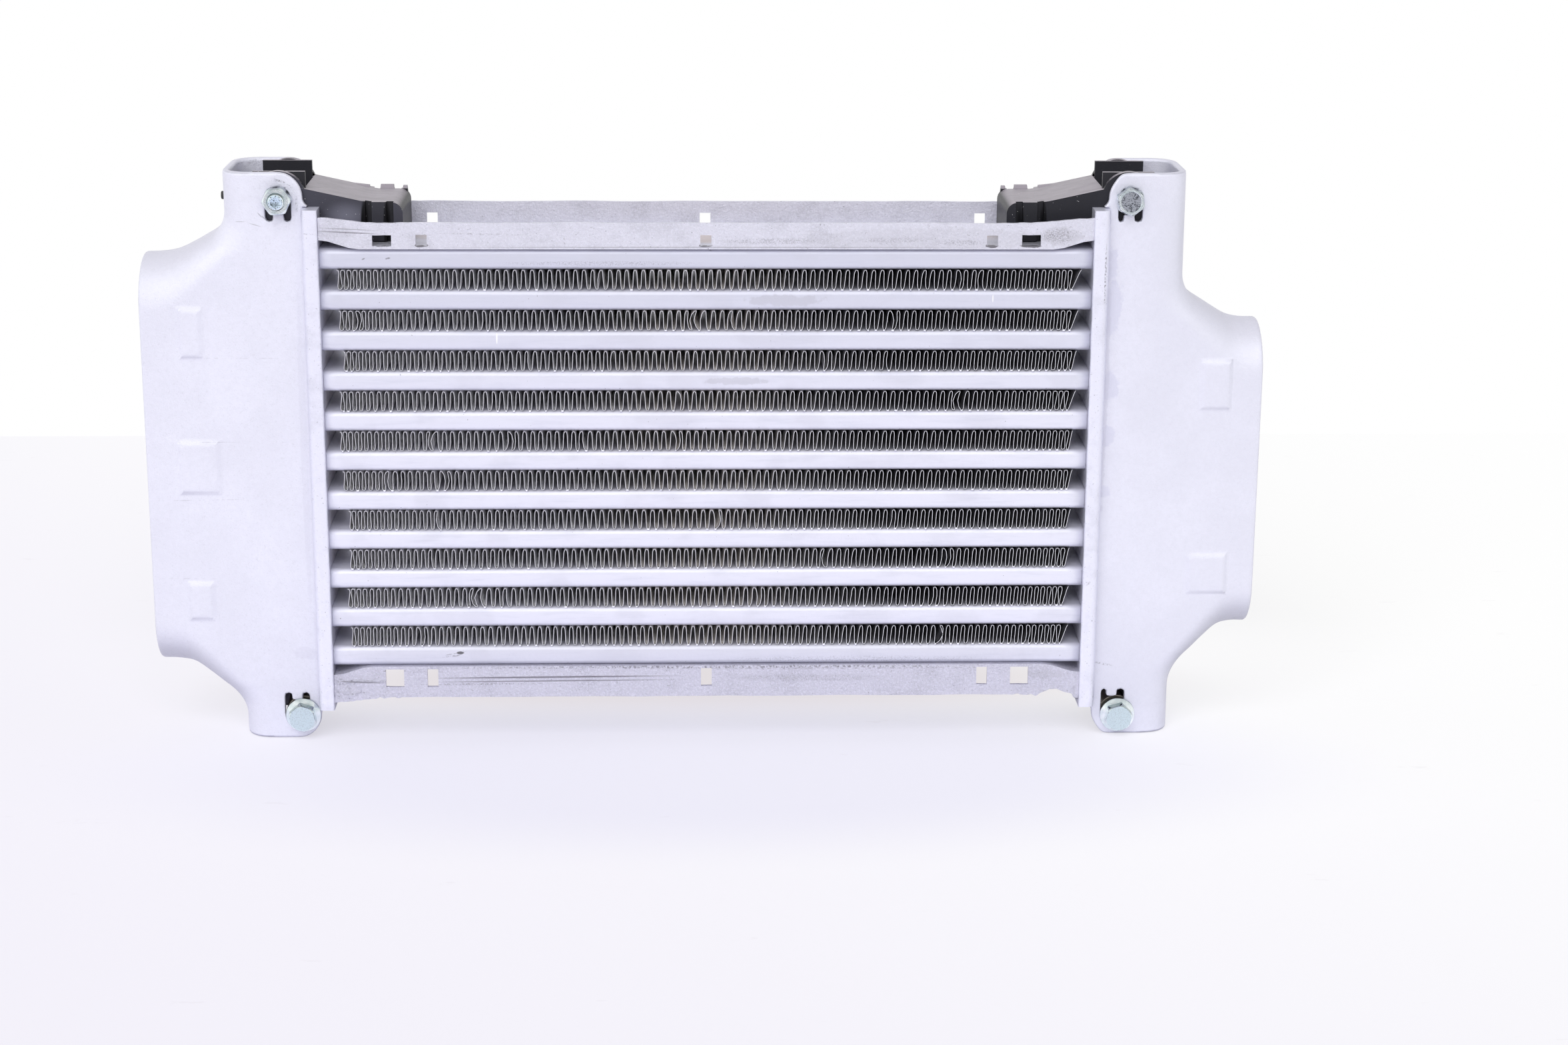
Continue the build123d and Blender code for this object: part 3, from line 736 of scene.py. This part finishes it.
for level, tone, crusty, levels, bend, beads, marks, lines in (
        ("upper", (0.735, 0.73, 0.83), 1.2, (203.0, 205.0, 207.0, 209.0),
         bend_upper, upper_seam, upper_marks, upper_scratches),
        ("lower", (0.69, 0.68, 0.80), 1.8, (20.0, 22.0, 24.0, 26.0, 28.5),
         bend_lower, lower_beads, lower_marks, lower_scratches)):
    node, name = level + "_side_plate", level + "_channel_plate"
    sheet = crumpled(node, cuts, levels, bend, (*beads, 70))
    skin = sheet_skin(name + "_skin", tone, crusty, marks, lines)
    softened(node, name, "sheet_aluminium", skin, 0.25, sheet)


# ---- tubes
# Eleven flat aluminium tubes with rounded noses, extruded and then brazed into the headers.
# They carry the charge air, and their walls waver slightly from the braze oven.

tube_count = 11
tube_pitch = 16.0
tube_tall = 8.2
tube_deep = 51.0
tube_end = 150.5
tube_nose = 2.4
tube_wall = 0.6
core_mid = 116.0


def outward(name, points, quads):
    """A mesh from points in millimetres, with its doubles merged and its normals turned outward."""
    return reworked(
        mesh_of(name, points, quads),
        lambda work: bmesh.ops.remove_doubles(work, verts=work.verts, dist=1e-7),
        lambda work: bmesh.ops.recalc_face_normals(work, faces=work.faces))


def grid_mesh(name, rings):
    """Smooth skin over rings of points, an array of ring by point by xyz in millimetres."""
    return smoothed(outward(name, rings.reshape(-1, 3), ring_faces(*rings.shape[:2])))


def stadium(inset):
    """Loop (y, z) of 32 points round the tube's section, a rounded rectangle drawn in by an inset:
    corner centres plus radius times (cos, sin)."""
    angle = (np.arange(32) + 0.5) / 32 * 2 * np.pi
    reach = np.array([tube_deep / 2 - tube_nose, tube_tall / 2 - tube_nose])
    ring = np.stack([np.cos(angle), np.sin(angle)], -1)
    return np.sign(ring) * reach + (tube_nose - inset) * ring


def make_tube(i, material):
    """Tube wall: outer and inner loops carried along X, with a slow sway in height."""
    z = core_mid + tube_pitch * ((tube_count - 1) / 2 - i)
    x = np.linspace(-tube_end, tube_end, 41)
    rng = np.random.default_rng(100 + i)
    sway = sum(rng.normal(0, 0.03) * np.sin(x / rng.uniform(14, 50) + rng.uniform(0, 6))
               for _ in range(4))
    sway *= unit((tube_end - 4 - np.abs(x)) / 8)
    along, lift = np.hstack([[x, sway], [x[::-1], sway[::-1]]])[..., None]
    y, rise = np.repeat([stadium(0.0), stadium(tube_wall)], len(x), 0).transpose(2, 0, 1)
    rings = np.stack([along + 0 * y, y, rise * (1 + lift / 8) + z + lift * 0.5], -1)
    rings = np.concatenate([rings, rings[:1]])
    name = f"tube_{i + 1:02d}"
    return put(name + "_drawn", grid_mesh(name, rings), material, "tube_aluminium", name)


def tube_skin():
    """Bright brazed tube: smooth, with faint streaks, flux bloom and a few dark specks, and painted
    shade on the noses that face up and on the tubes far from the middle height.
    """
    material, shader, place = finish_of("tube_skin", 0.55, 0.36, (0.74, 0.745, 0.85))
    streak = place.noise(0.12, 4.0, 0.6, (0.35, 1.0, 3.0)).ramp(0.45, 0.75)
    colour = (streak * 0.45).blend((0.77, 0.77, 0.88), (0.62, 0.63, 0.74))
    # Painted shade: tubes further from the middle height are painted darker.
    away = place.part(2) - 95.0
    painted_shade_outer = abs(away).ramp(25.0, 110.0)
    colour = (painted_shade_outer * 0.6).blend(colour, (0.56, 0.57, 0.68))
    cloud = place.noise(0.05, 3.0, 0.5, (1.0, 1.0, 1.4)).ramp(0.48, 0.66)
    colour = (cloud * 0.30).blend(colour, (0.60, 0.60, 0.69))
    lean = place.lean()
    # Painted shade: the noses that face up are painted darker.
    colour = (lean.ramp(0.25, 0.85) * 0.35).blend(colour, (0.46, 0.45, 0.52))
    speck = place.noise(0.9, 1.0).ramp(0.765, 0.80)
    colour = (speck * 0.6).blend(colour, (0.22, 0.21, 0.24))
    plug(shader, "Base Color", stained(place, colour, tube_marks, tube_scratches))
    plug(shader, "Roughness", streak * 0.12 + 0.42)
    relief(shader, place.noise(0.5, 4.0, 0.6), 0.10)
    return material


tube_marks = (
    # Painted shade on the lowest tube.
    ((0.0, -25.5, 36.0), (170.0, 9.0, 6.0), 0.3, 0.22, (0.46, 0.46, 0.52)),
    ((-81.0, -25.5, 165.0), (0.35, 4.0, 2.4), 0.3, 0.8, (1.0, 1.0, 1.0)),
    ((111.3, -25.5, 180.7), (0.3, 4.0, 1.8), 0.3, 0.7, (1.0, 1.0, 1.0)),
    ((30.0, -25.5, 180.0), (16.0, 5.0, 2.5), 1.4, 0.35, (0.45, 0.44, 0.50)),
    ((12.0, -25.5, 148.0), (14.0, 5.0, 1.6), 1.4, 0.35, (0.45, 0.44, 0.50)),
    ((-98.0, -25.5, 37.2), (1.8, 4.0, 0.7), 0.8, 0.9, (0.10, 0.10, 0.11)),
)
tube_scratches = on_face(-25.5, 4.0, (
    (-101.5, 35.8, 4.5, 0.45, 0.12, 0.6, 0.90),
    (-100.0, 37.0, 5.5, 0.30, 0.20, 0.4, 0.70),
    (-131.5, 196.2, 0.9, 0.4, 0.5, 0.0, 0.60),
    (-122.2, 196.4, 1.4, 0.45, 0.2, 1.4, 0.90),
    (-40.0, 194.5, 50.0, 1.2, 0.0, 1.8, 0.35),
    (60.0, 34.0, 70.0, 1.8, 0.0, 1.5, 0.25),
))
bright_tube = tube_skin()
for i in range(tube_count):
    make_tube(i, bright_tube)


# ---- air fins
# Ten corrugated strips of thin louvred aluminium between the tubes, brazed at every crest.
# Their folds crowd near the headers, and a few were bent in handling.

fin_first = -141.6
fin_last = 144.2
fin_half = 25.1
fin_sheet = 0.16
fin_room = tube_pitch - tube_tall
fewest_folds = 91


def fin_path(i):
    """Centre line of a strip as a function of u, counted in folds: x is the running sum of the
    pitch plus a meander sin 4 pi u that rounds the crowded folds, z is a flattened sine
    -tanh(1.3 cos 2 pi u). Bent folds bow by a Gaussian in u, the folds on the +X side lean, and
    the last leg stands out towards the header."""
    rng = np.random.default_rng(300 + i)
    folds = fewest_folds + int(rng.integers(0, 4))
    u = np.linspace(0.5, folds + 0.5, folds * 12 + 1)
    crowd = 1 - 0.42 * np.exp(-u / rng.uniform(4, 7))
    crowd -= 0.36 * np.exp((u - folds) / rng.uniform(4, 7))
    crowd *= 1 + sum(rng.normal(0, 0.015) * np.sin(u / rng.uniform(2, 9)) for _ in range(4))
    x = np.concatenate([[0], np.cumsum((crowd[1:] + crowd[:-1]) / 2 * np.diff(u))])
    first = fin_first + rng.uniform(-1.4, 1.2)
    x = first + x * (fin_last - rng.uniform(0.0, 1.2) - first) / x[-1]
    height = -np.tanh(1.3 * np.cos(2 * np.pi * u)) / np.tanh(1.3)
    x += (u > folds) * (1 + height) / 2 * rng.uniform(0.2, 2.2)
    loop = 0.19 + 0.95 * np.maximum(1 - crowd, 0) + 0.04 * np.sin(u / 3 + i)
    meander = np.sin(4 * np.pi * u) * loop
    side = unit((x + 30) / 90)
    bow = np.zeros_like(u)
    front = np.zeros_like(u)
    for _ in range(int(rng.integers(4, 8))):
        where = rng.uniform(2, folds - 2)
        near = np.exp(-((u - where) / rng.uniform(0.3, 0.9)) ** 2)
        bow += rng.normal(0, 0.6) * near
        front += rng.normal(0, 0.45) * near
    belly = 1 - height ** 2
    jitter = np.interp(u, np.arange(folds * 2 + 2) / 2, rng.normal(0, 0.06, folds * 2 + 2))
    x += meander * (u < folds) + side * 0.28 * height + bow * belly + jitter
    return x, height * (fin_room / 2 - 0.14), front * belly


def make_fin(i, materials):
    """Strip with thickness: the path set off along its normal to both sides and carried in Y. The
    front stretch also sways where folds were bent. Braze has pooled under many of the lower crests,
    more of them towards +X."""
    x, z, front = fin_path(i)
    middle = core_mid + tube_pitch * ((tube_count - 2) / 2 - i)
    tangent = np.stack([np.gradient(x), np.gradient(z)], -1)
    tangent /= np.linalg.norm(tangent, axis=1, keepdims=True)
    across = np.array([-tangent[:, 1], tangent[:, 0]]) * fin_sheet / 2
    line = np.array([x, z + middle])
    line = np.concatenate([line + across, (line - across)[:, ::-1]], 1)
    sway = np.concatenate([front, front[::-1]])
    rings = np.array([np.stack([line[0] + sway * bent, np.full_like(sway, depth), line[1]], -1)
                      for depth, bent in ((-fin_half, 1), (2.6 - fin_half, 0), (fin_half, 0))])
    count, size = rings.shape[:2]
    faces = ring_faces(count, size)
    a = np.arange(size // 2 - 1)
    strip = np.stack([a, a + 1, size - 2 - a, size - 1 - a], -1)
    caps = np.concatenate([strip, strip[:, ::-1] + (count - 1) * size])
    rng = np.random.default_rng(500 + i)
    lows = x[6::12]
    lows = lows[rng.uniform(0, 1, len(lows)) < 0.45 + 0.4 * unit((lows + 20) / 60)]
    bed = middle - fin_room / 2 - 0.15
    centres = np.stack([lows, np.full_like(lows, -24.7), np.full_like(lows, bed)], -1)
    centres[:, 0] += rng.normal(0, 0.1, len(lows))
    sizes = np.array([0.6, 0.7, 0.34]) * rng.uniform(0.6, 1.25, (len(lows), 3))
    pools, pool_faces = lumps(centres, sizes, 520 + i)
    name = f"fin_{i + 1:02d}"
    mesh = mesh_of(name, np.concatenate([rings.reshape(-1, 3), pools]),
                   np.concatenate([faces, caps, pool_faces + count * size]))
    kind = np.repeat([0, 1, 2], [len(faces), len(caps), len(pool_faces)])
    mesh.polygons.foreach_set("use_smooth", kind != 1)
    mesh.polygons.foreach_set("material_index", kind)
    for material in materials:
        mesh.materials.append(material)
    mesh.update()
    return put(name + "_louvred", mesh, None, "fin_aluminium", name)


def louvre_skin():
    """Dull fin face with louvres as ridges across the depth and a patchy bloom. The folds on the
    +X side are painted darker as shade, and the middle of the core is a little browner."""
    material, shader, place = finish_of("louvred_fin", 0.35, 0.55, (0.42, 0.42, 0.45))
    along, depth = place.part(0), place.part(1)
    wave = depth.node("Math", {0: depth * 5.7}, operation="SINE")
    bloom = place.noise(0.22, 4.0, 0.65).ramp(0.4, 0.7)
    fold_tone = bloom.blend((0.74, 0.74, 0.78), (0.88, 0.87, 0.89))
    middle = along.ramp(-60.0, -10.0) * along.ramp(60.0, 10.0)
    fold_tone = (middle * 0.8).blend(fold_tone, (0.84, 0.80, 0.78))
    # Painted shade: the folds towards +X are painted dark.
    painted_shade_folds = bloom.blend((0.11, 0.11, 0.13), (0.21, 0.20, 0.23))
    plug(shader, "Base Color", along.ramp(5.0, 85.0).blend(fold_tone, painted_shade_folds))
    relief(shader, wave * 0.5 + 0.5, 0.35)
    return material


edge_skin = finish_of("fin_cut_edge", 0.4, 0.4, (0.80, 0.80, 0.85))[0]
pool_skin = finish_of("braze_pool", 0.4, 0.4, (0.84, 0.84, 0.92))[0]
fin_skins = (louvre_skin(), edge_skin, pool_skin)
for i in range(tube_count - 1):
    make_fin(i, fin_skins)
for i in range(tube_count):
    inner_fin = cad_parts[f"inner_fin_{i + 1:02d}"].data
    inner_fin.materials.clear()
    inner_fin.materials.append(fin_skins[0])


# ---- holders
# Black moulded plastic, one at each upper corner. The fork sits on the bolt inside the U and
# the arm lies over the side plate.

arm_face = -18.3
arm_grooves = (-131.2, -122.6, 121.9, 130.7)
arm_root = 147.0
fork_edge = 153.1
teeth_depths = (16.3, 18.3)
teeth_bars = ((117.4, 120.0, 218.0, 218.0), (122.7, 128.8, 218.4, 218.4),
              (132.2, 144.0, 218.2, 219.4))


def plastic_skin():
    """Fine matt moulding grain with grey-brown dust on what faces up, a few white crumbs, a painted
    sheen on the left holder's front and painted shade in the arm's grooves.
    """
    material, shader, place = finish_of("black_moulding", 0.0, 0.5, (0.02, 0.02, 0.024))
    shader.inputs["Specular IOR Level"].default_value = 0.22
    up = place.lean()
    facing_tone = up.ramp(0.50, 0.95) * (place.noise(0.25, 4.0, 0.5, (0.4, 1.0, 1.0)) * 0.5 + 0.62)
    along, depth = place.part(0), place.part(1)
    # Painted sheen: the holders' front faces are painted lighter on the left holder than on the
    # right.
    ground = along.ramp(-40.0, 40.0).blend((0.072, 0.071, 0.095), (0.019, 0.019, 0.025))
    ground = (depth.ramp(-19.5, -17.0)).blend(ground, (0.019, 0.019, 0.023))
    # Painted sheen: a lighter patch on the left holder's front.
    painted_sheen = place.spot((-138.5, arm_face, 211.5), (11.0, 4.0, 7.0), 1.0)
    ground = painted_sheen.blend(ground, (0.14, 0.14, 0.18))
    rim = place.part(2).ramp(216.6, 217.2) * depth.ramp(15.0, 16.2) * abs(along).ramp(148.0, 145.0)
    facing_tone = facing_tone.combine("MAXIMUM", facing_tone, rim * 0.9)
    colour = facing_tone.blend(ground, (0.36, 0.33, 0.37))
    for x in arm_grooves:
        # Painted shade in the arm's grooves.
        groove_shade = place.spot((x, arm_face, 207.0), (1.9, 4.0, 13.0), 0.35)
        colour = groove_shade.blend(colour, (0.003, 0.003, 0.004))
    crumbs = place.noise(1.5, 1.0).ramp(0.775, 0.80)
    plug(shader, "Base Color", (crumbs * 0.7).blend(colour, (0.7, 0.7, 0.72)))
    plug(shader, "Roughness", place.noise(0.8, 3.0) * 0.16 + 0.34)
    relief(shader, place.noise(1.8, 3.0), 0.05)
    return material


def let_down(points):
    """Points of a holder with the underside of its arm let down onto the side plate by the header,
    and the inner edges of its fork moved out."""
    x, y, z = points.T
    high = (np.abs(np.abs(x) - arm_root) < 1.2) & (z > 213.0) & (z < 216.2)
    fork = (np.abs(np.abs(x) - fork_edge) < 0.4) & (np.abs(y) > 12)
    x = x + np.sign(x) * fork * np.where(y > 0, 1.7, 0.8)
    return np.array([x, y, np.where(high, z - 12.2, z)]).T


def rim_teeth(name, sign):
    """Three low teeth along the rear edge of a holder's top: bars with sloping ends, each a loop of
    (x, z) carried in Y."""
    points = np.array([(sign * x, depth, z) for x0, x1, low, high in teeth_bars
                       for depth in teeth_depths
                       for x, z in ((x0, 213.0), (x0 + 0.5, low), (x1 - 0.5, high), (x1, 213.0))])
    bar = np.concatenate([[(0, 1, 2, 3), (7, 6, 5, 4)], ring_faces(2, 4)])
    quads = (bar + np.arange(len(teeth_bars))[:, None, None] * 8).reshape(-1, 4)
    return outward(name, points, quads)


black_moulding = plastic_skin()
for side, sign in (("left", -1), ("right", 1)):
    holder = moved(merged_copy(side + "_holder"), let_down)
    holder = joined(holder, rim_teeth(side + "_teeth", sign))
    softened(side + "_holder", side + "_moulded_holder", "black_plastic", black_moulding, 0.45,
             holder)


# ---- bolts, nuts, sleeves and peg
# Zinc-plated M6 hardware with bare heads. Long bolts cross the ears, the upper ones through
# the holders and the lower ones through a spacer sleeve. A dark peg locates the left tank.

hex_flats = 10.0


def drooped(points, droop):
    """Points of a loose bolt or its sleeve, shifted in x and z by the droop times their share of
    the way from the rear ear to the front one."""
    share = unit((tank_half - points[..., 1]) / (2 * tank_half))[..., None]
    return points + share * np.array([droop[0], 0.0, droop[1]])


def turned(name, node, x, z, facing, turn, stations, material, droop=(0.0, 0.0)):
    """Piece turned about Y on an ear's outer face. A station is (distance out from the ear,
    radius, hexed). Where hexed is 1, the radius at angle a is held to the hexagon's flats by the
    lesser of the radius and flats / (2 cos a'), a' being the angle from the nearest flat's
    middle."""
    angle = np.arange(72) / 72 * 2 * np.pi
    fold = (angle + math.radians(turn)) % (np.pi / 3) - np.pi / 6
    flats = hex_flats / 2 / np.cos(fold)
    out, radius, hexed = (np.array(column)[:, None] for column in zip(*stations))
    reach = np.where(hexed, np.minimum(flats, radius), radius)
    rings = np.stack([x + reach * np.sin(angle), facing * (tank_half + out + 0 * angle),
                      z + reach * np.cos(angle)], -1)
    mesh = grid_mesh(name, drooped(rings, droop))
    mesh.set_sharp_from_angle(angle=math.radians(28))
    return put(name, mesh, material, "zinc_steel", node)


def shank():
    """Stations of a 6 mm shank from its tail to the ear, with 1 mm threads as waves of radius
    2.86 + 0.14 cos(2 pi s) over the last 12 mm."""
    steps = np.arange(48) * 0.25
    tail = -2 * tank_half - 6.8
    threads = [(tail + 0.4 + step, 2.86 + 0.14 * math.cos(2 * math.pi * step), 0)
               for step in steps]
    return [(tail + 0.15, 0.0, 0), (tail + 0.15, 1.9, 0), (tail, 2.2, 0), *threads,
            (tail + 12.6, 2.95, 0), (0.0, 2.95, 0)]


plain_head = [(0.0, 4.9, 0), (0.3, 5.9, 1), (3.4, 5.9, 1), (3.75, 5.5, 1), (4.2, 4.75, 0),
              (4.2, 4.1, 0), (3.95, 3.8, 0), (3.95, 0.0, 0)]
flange_head = [(0.0, 6.7, 0), (0.2, 6.95, 0), (0.7, 7.05, 0), (1.1, 6.95, 0), (1.5, 6.3, 0),
               (1.9, 5.9, 1), (5.2, 5.9, 1), (5.6, 5.45, 1), (6.0, 4.95, 0), (6.0, 0.0, 0)]
nut_body = [(0.3, 3.05, 0), (0.0, 3.4, 0), (0.0, 4.8, 0), (0.45, 5.9, 1), (4.2, 5.9, 1),
            (4.55, 5.5, 1), (5.0, 4.7, 0), (5.0, 3.5, 0), (4.6, 3.05, 0), (0.3, 3.05, 0)]


def zinc_skin(name, face, ground, spots):
    """Bright zinc with a faint blue-green cast. Flats that face up are painted dark, a painted
    reflection, and the end at a depth of face in Y has its own ground with spots of another colour."""
    material, shader, place = finish_of(name, 1.0, 0.2, (0.78, 0.85, 0.87))
    up = place.lean()
    depth = place.part(1)
    tint = place.noise(0.3, 3.0, 0.5).ramp(0.35, 0.7)
    skin = tint.blend((0.70, 0.79, 0.81), (0.90, 0.95, 0.96))
    # Painted reflection: flats that face up are painted dark.
    skin = (up.ramp(0.2, 0.75) * 0.72).blend(skin, (0.20, 0.24, 0.26))
    end = place.noise(1.7, 3.0, 0.7).ramp(0.50, 0.60).blend(ground, spots)
    plug(shader, "Base Color", abs(depth - face).ramp(0.16, 0.08).blend(skin, end))
    plug(shader, "Roughness", place.noise(0.9, 3.0) * 0.14 + 0.11)
    relief(shader, place.noise(1.6, 3.0, 0.6), 0.035)
    return material


def plain(name, metallic, roughness, colour):
    """A plain finish with fine grain."""
    material, shader, place = finish_of(name, metallic, roughness, colour)
    relief(shader, place.noise(1.5, 3.0), 0.04)
    return material


flange_end = -tank_half - 6.0
zinc = zinc_skin("bright_zinc", flange_end, (0.66, 0.78, 0.80), (0.56, 0.66, 0.68))
pitted_zinc = zinc_skin("pitted_zinc", -tank_half - 3.95, (0.50, 0.53, 0.58), (0.11, 0.12, 0.14))
cut_zinc = zinc_skin("cut_zinc", -tank_half - 6.65, (0.70, 0.85, 1.0), (0.10, 0.12, 0.15))
bronze = plain("dull_sleeve", 1.0, 0.4, (0.42, 0.38, 0.33))
dark = plain("dark_peg", 0.0, 0.5, (0.03, 0.03, 0.03))
top_bolt = tank_top - bolt_in
straight = (0.0, 0.0)
for at, x, z, facing, turn, nut_turn, head, skin, droop in (
        ("upper_left", -bolt_x, top_bolt, 1, 20, 36, plain_head, cut_zinc, straight),
        ("upper_right", bolt_x, top_bolt, -1, 8, 50, plain_head, pitted_zinc, straight),
        ("lower_left", -bolt_x, bolt_in, -1, 12, 37, flange_head, zinc, (2.3, -0.6)),
        ("lower_right", bolt_x, bolt_in, -1, -14, 11, flange_head, zinc, (2.5, -2.1))):
    turned(at + "_screw", at + "_bolt", x, z, facing, turn, shank() + head, skin, droop)
    turned(at + "_hex_nut", at + "_nut", x, z, -facing, nut_turn, nut_body, zinc)
    if droop != straight:
        sleeve = moved(merged_copy(at + "_sleeve"), lambda points: drooped(points, droop))
        softened(at + "_sleeve", at[6:] + "_spacer", "sleeve_steel", bronze, 0.3, sleeve)
softened("left_locating_peg", "locating_peg", "dark_peg", dark, 0.3)


# ---- floor, light and camera
# A pale paper floor that ends behind the part, white beyond it, and soft light from all round
# with a wide lamp high on the left.

def floor_paper():
    """Pale lavender paper, whiter to the back and to the right as painted light, with painted
    shadow behind the part, a little warm, and before it, bluer, and a few faint scuffs. Much of
    what the camera sees of it is a glow of its own colour, more so behind the part, lightening the
    part's shadow on it."""
    material, shader, place = finish_of("floor_paper", 0.0, 0.8, (0.92, 0.90, 0.96))
    along, depth = place.part(0), place.part(1)
    # Painted light: whiter to the back and to the right.
    white = (along * 0.8 + depth * 0.7).ramp(-420.0, 420.0)
    colour = white.blend((0.905, 0.885, 0.96), (1.0, 1.0, 1.0))
    # Painted shadow behind the part, a little warm.
    behind = place.spot((0.0, 50.0, 0.0), (230.0, 60.0, 9.0), 0.6) * 0.8
    colour = behind.blend(colour, (0.77, 0.72, 0.735))
    # Painted shadow before the part, bluish.
    before = place.spot((0.0, -60.0, 0.0), (290.0, 110.0, 9.0), 0.6) * 0.62
    colour = before.blend(colour, (0.80, 0.79, 0.92))
    scuff = place.noise(0.02, 5.0, 0.7, (1.0, 3.0, 1.0)).ramp(0.66, 0.70) * 0.10
    colour = scuff.blend(colour, (0.6, 0.55, 0.6))
    plug(shader, "Base Color", colour)
    # A glow of the floor's own colour that the camera sees, stronger behind the part, lightens the
    # part's shadow on the floor.
    glow = colour.node("Emission", {"Color": colour, "Strength": 1.0})
    glow_share = place.spot((0.0, 90.0, 0.0), (330.0, 110.0, 9.0), 0.4) * 0.25 + 0.68
    seen = colour.node("LightPath") * glow_share
    paper = colour.node("MixShader", {0: seen, 1: Wire(colour.tree, shader.outputs[0]), 2: glow})
    plug(colour.tree.nodes["Material Output"], "Surface", paper)
    return material


floor_wide = 1600.0
floor_near = -1400.0
floor_far = 490.0
corners = np.array([(-floor_wide, floor_near, 0), (floor_wide, floor_near, 0),
                    (floor_wide, floor_far, 0), (-floor_wide, floor_far, 0)])
floor_mesh = mesh_of("floor", corners, np.array([(0, 1, 2, 3)]))
floor_mesh.materials.append(floor_paper())
linked("floor", floor_mesh)

world = bpy.data.worlds.new("studio")
world.use_nodes = True
bpy.context.scene.world = world
tree = world.node_tree
ground = tree.nodes["Background"]
ground.inputs["Color"].default_value = (1.0, 1.0, 1.0, 1.0)
rays = tree.nodes.new("ShaderNodeLightPath")
seen = Wire(tree, rays.outputs["Is Camera Ray"])
shine = Wire(tree, rays.outputs["Is Glossy Ray"])
way = Wire(tree, tree.nodes.new("ShaderNodeTexCoord").outputs["Generated"])
side, front, rise = (way.part(k) for k in range(3))
studio = side * -0.06 + 0.36
mirrored = side * -0.10 + 1.0 - front.ramp(-0.80, -0.97) * rise.ramp(0.55, 0.1) * 0.55
light = shine * (mirrored - studio) + studio
plug(ground, "Strength", seen * (1.0 - light) + light)

lamp_data = bpy.data.lights.new("front_box", "SUN")
lamp_data.energy = 3.2
lamp_data.angle = math.radians(55)
lamp = linked("front_box", lamp_data)
lamp.rotation_euler = (math.radians(52), 0, math.radians(-10))
lamp.visible_glossy = False

camera_data = bpy.data.cameras.new("camera")
camera_data.sensor_width = 36.0
camera_data.lens = 67.53
camera = linked("camera", camera_data)
bpy.context.scene.camera = camera
stand = (-0.00729, -1.14536, 0.40109)
yaw, pitch, roll = -0.03395, -0.27019, -0.00619
camera.matrix_world = (Matrix.Translation(stand) @ Matrix.Rotation(yaw, 4, "Z")
                       @ Matrix.Rotation(pitch, 4, "X") @ Matrix.Rotation(roll, 4, "Y")
                       @ Matrix.Rotation(math.pi / 2, 4, "X"))

bpy.context.scene.view_settings.view_transform = "Standard"
bpy.context.view_layer.update()
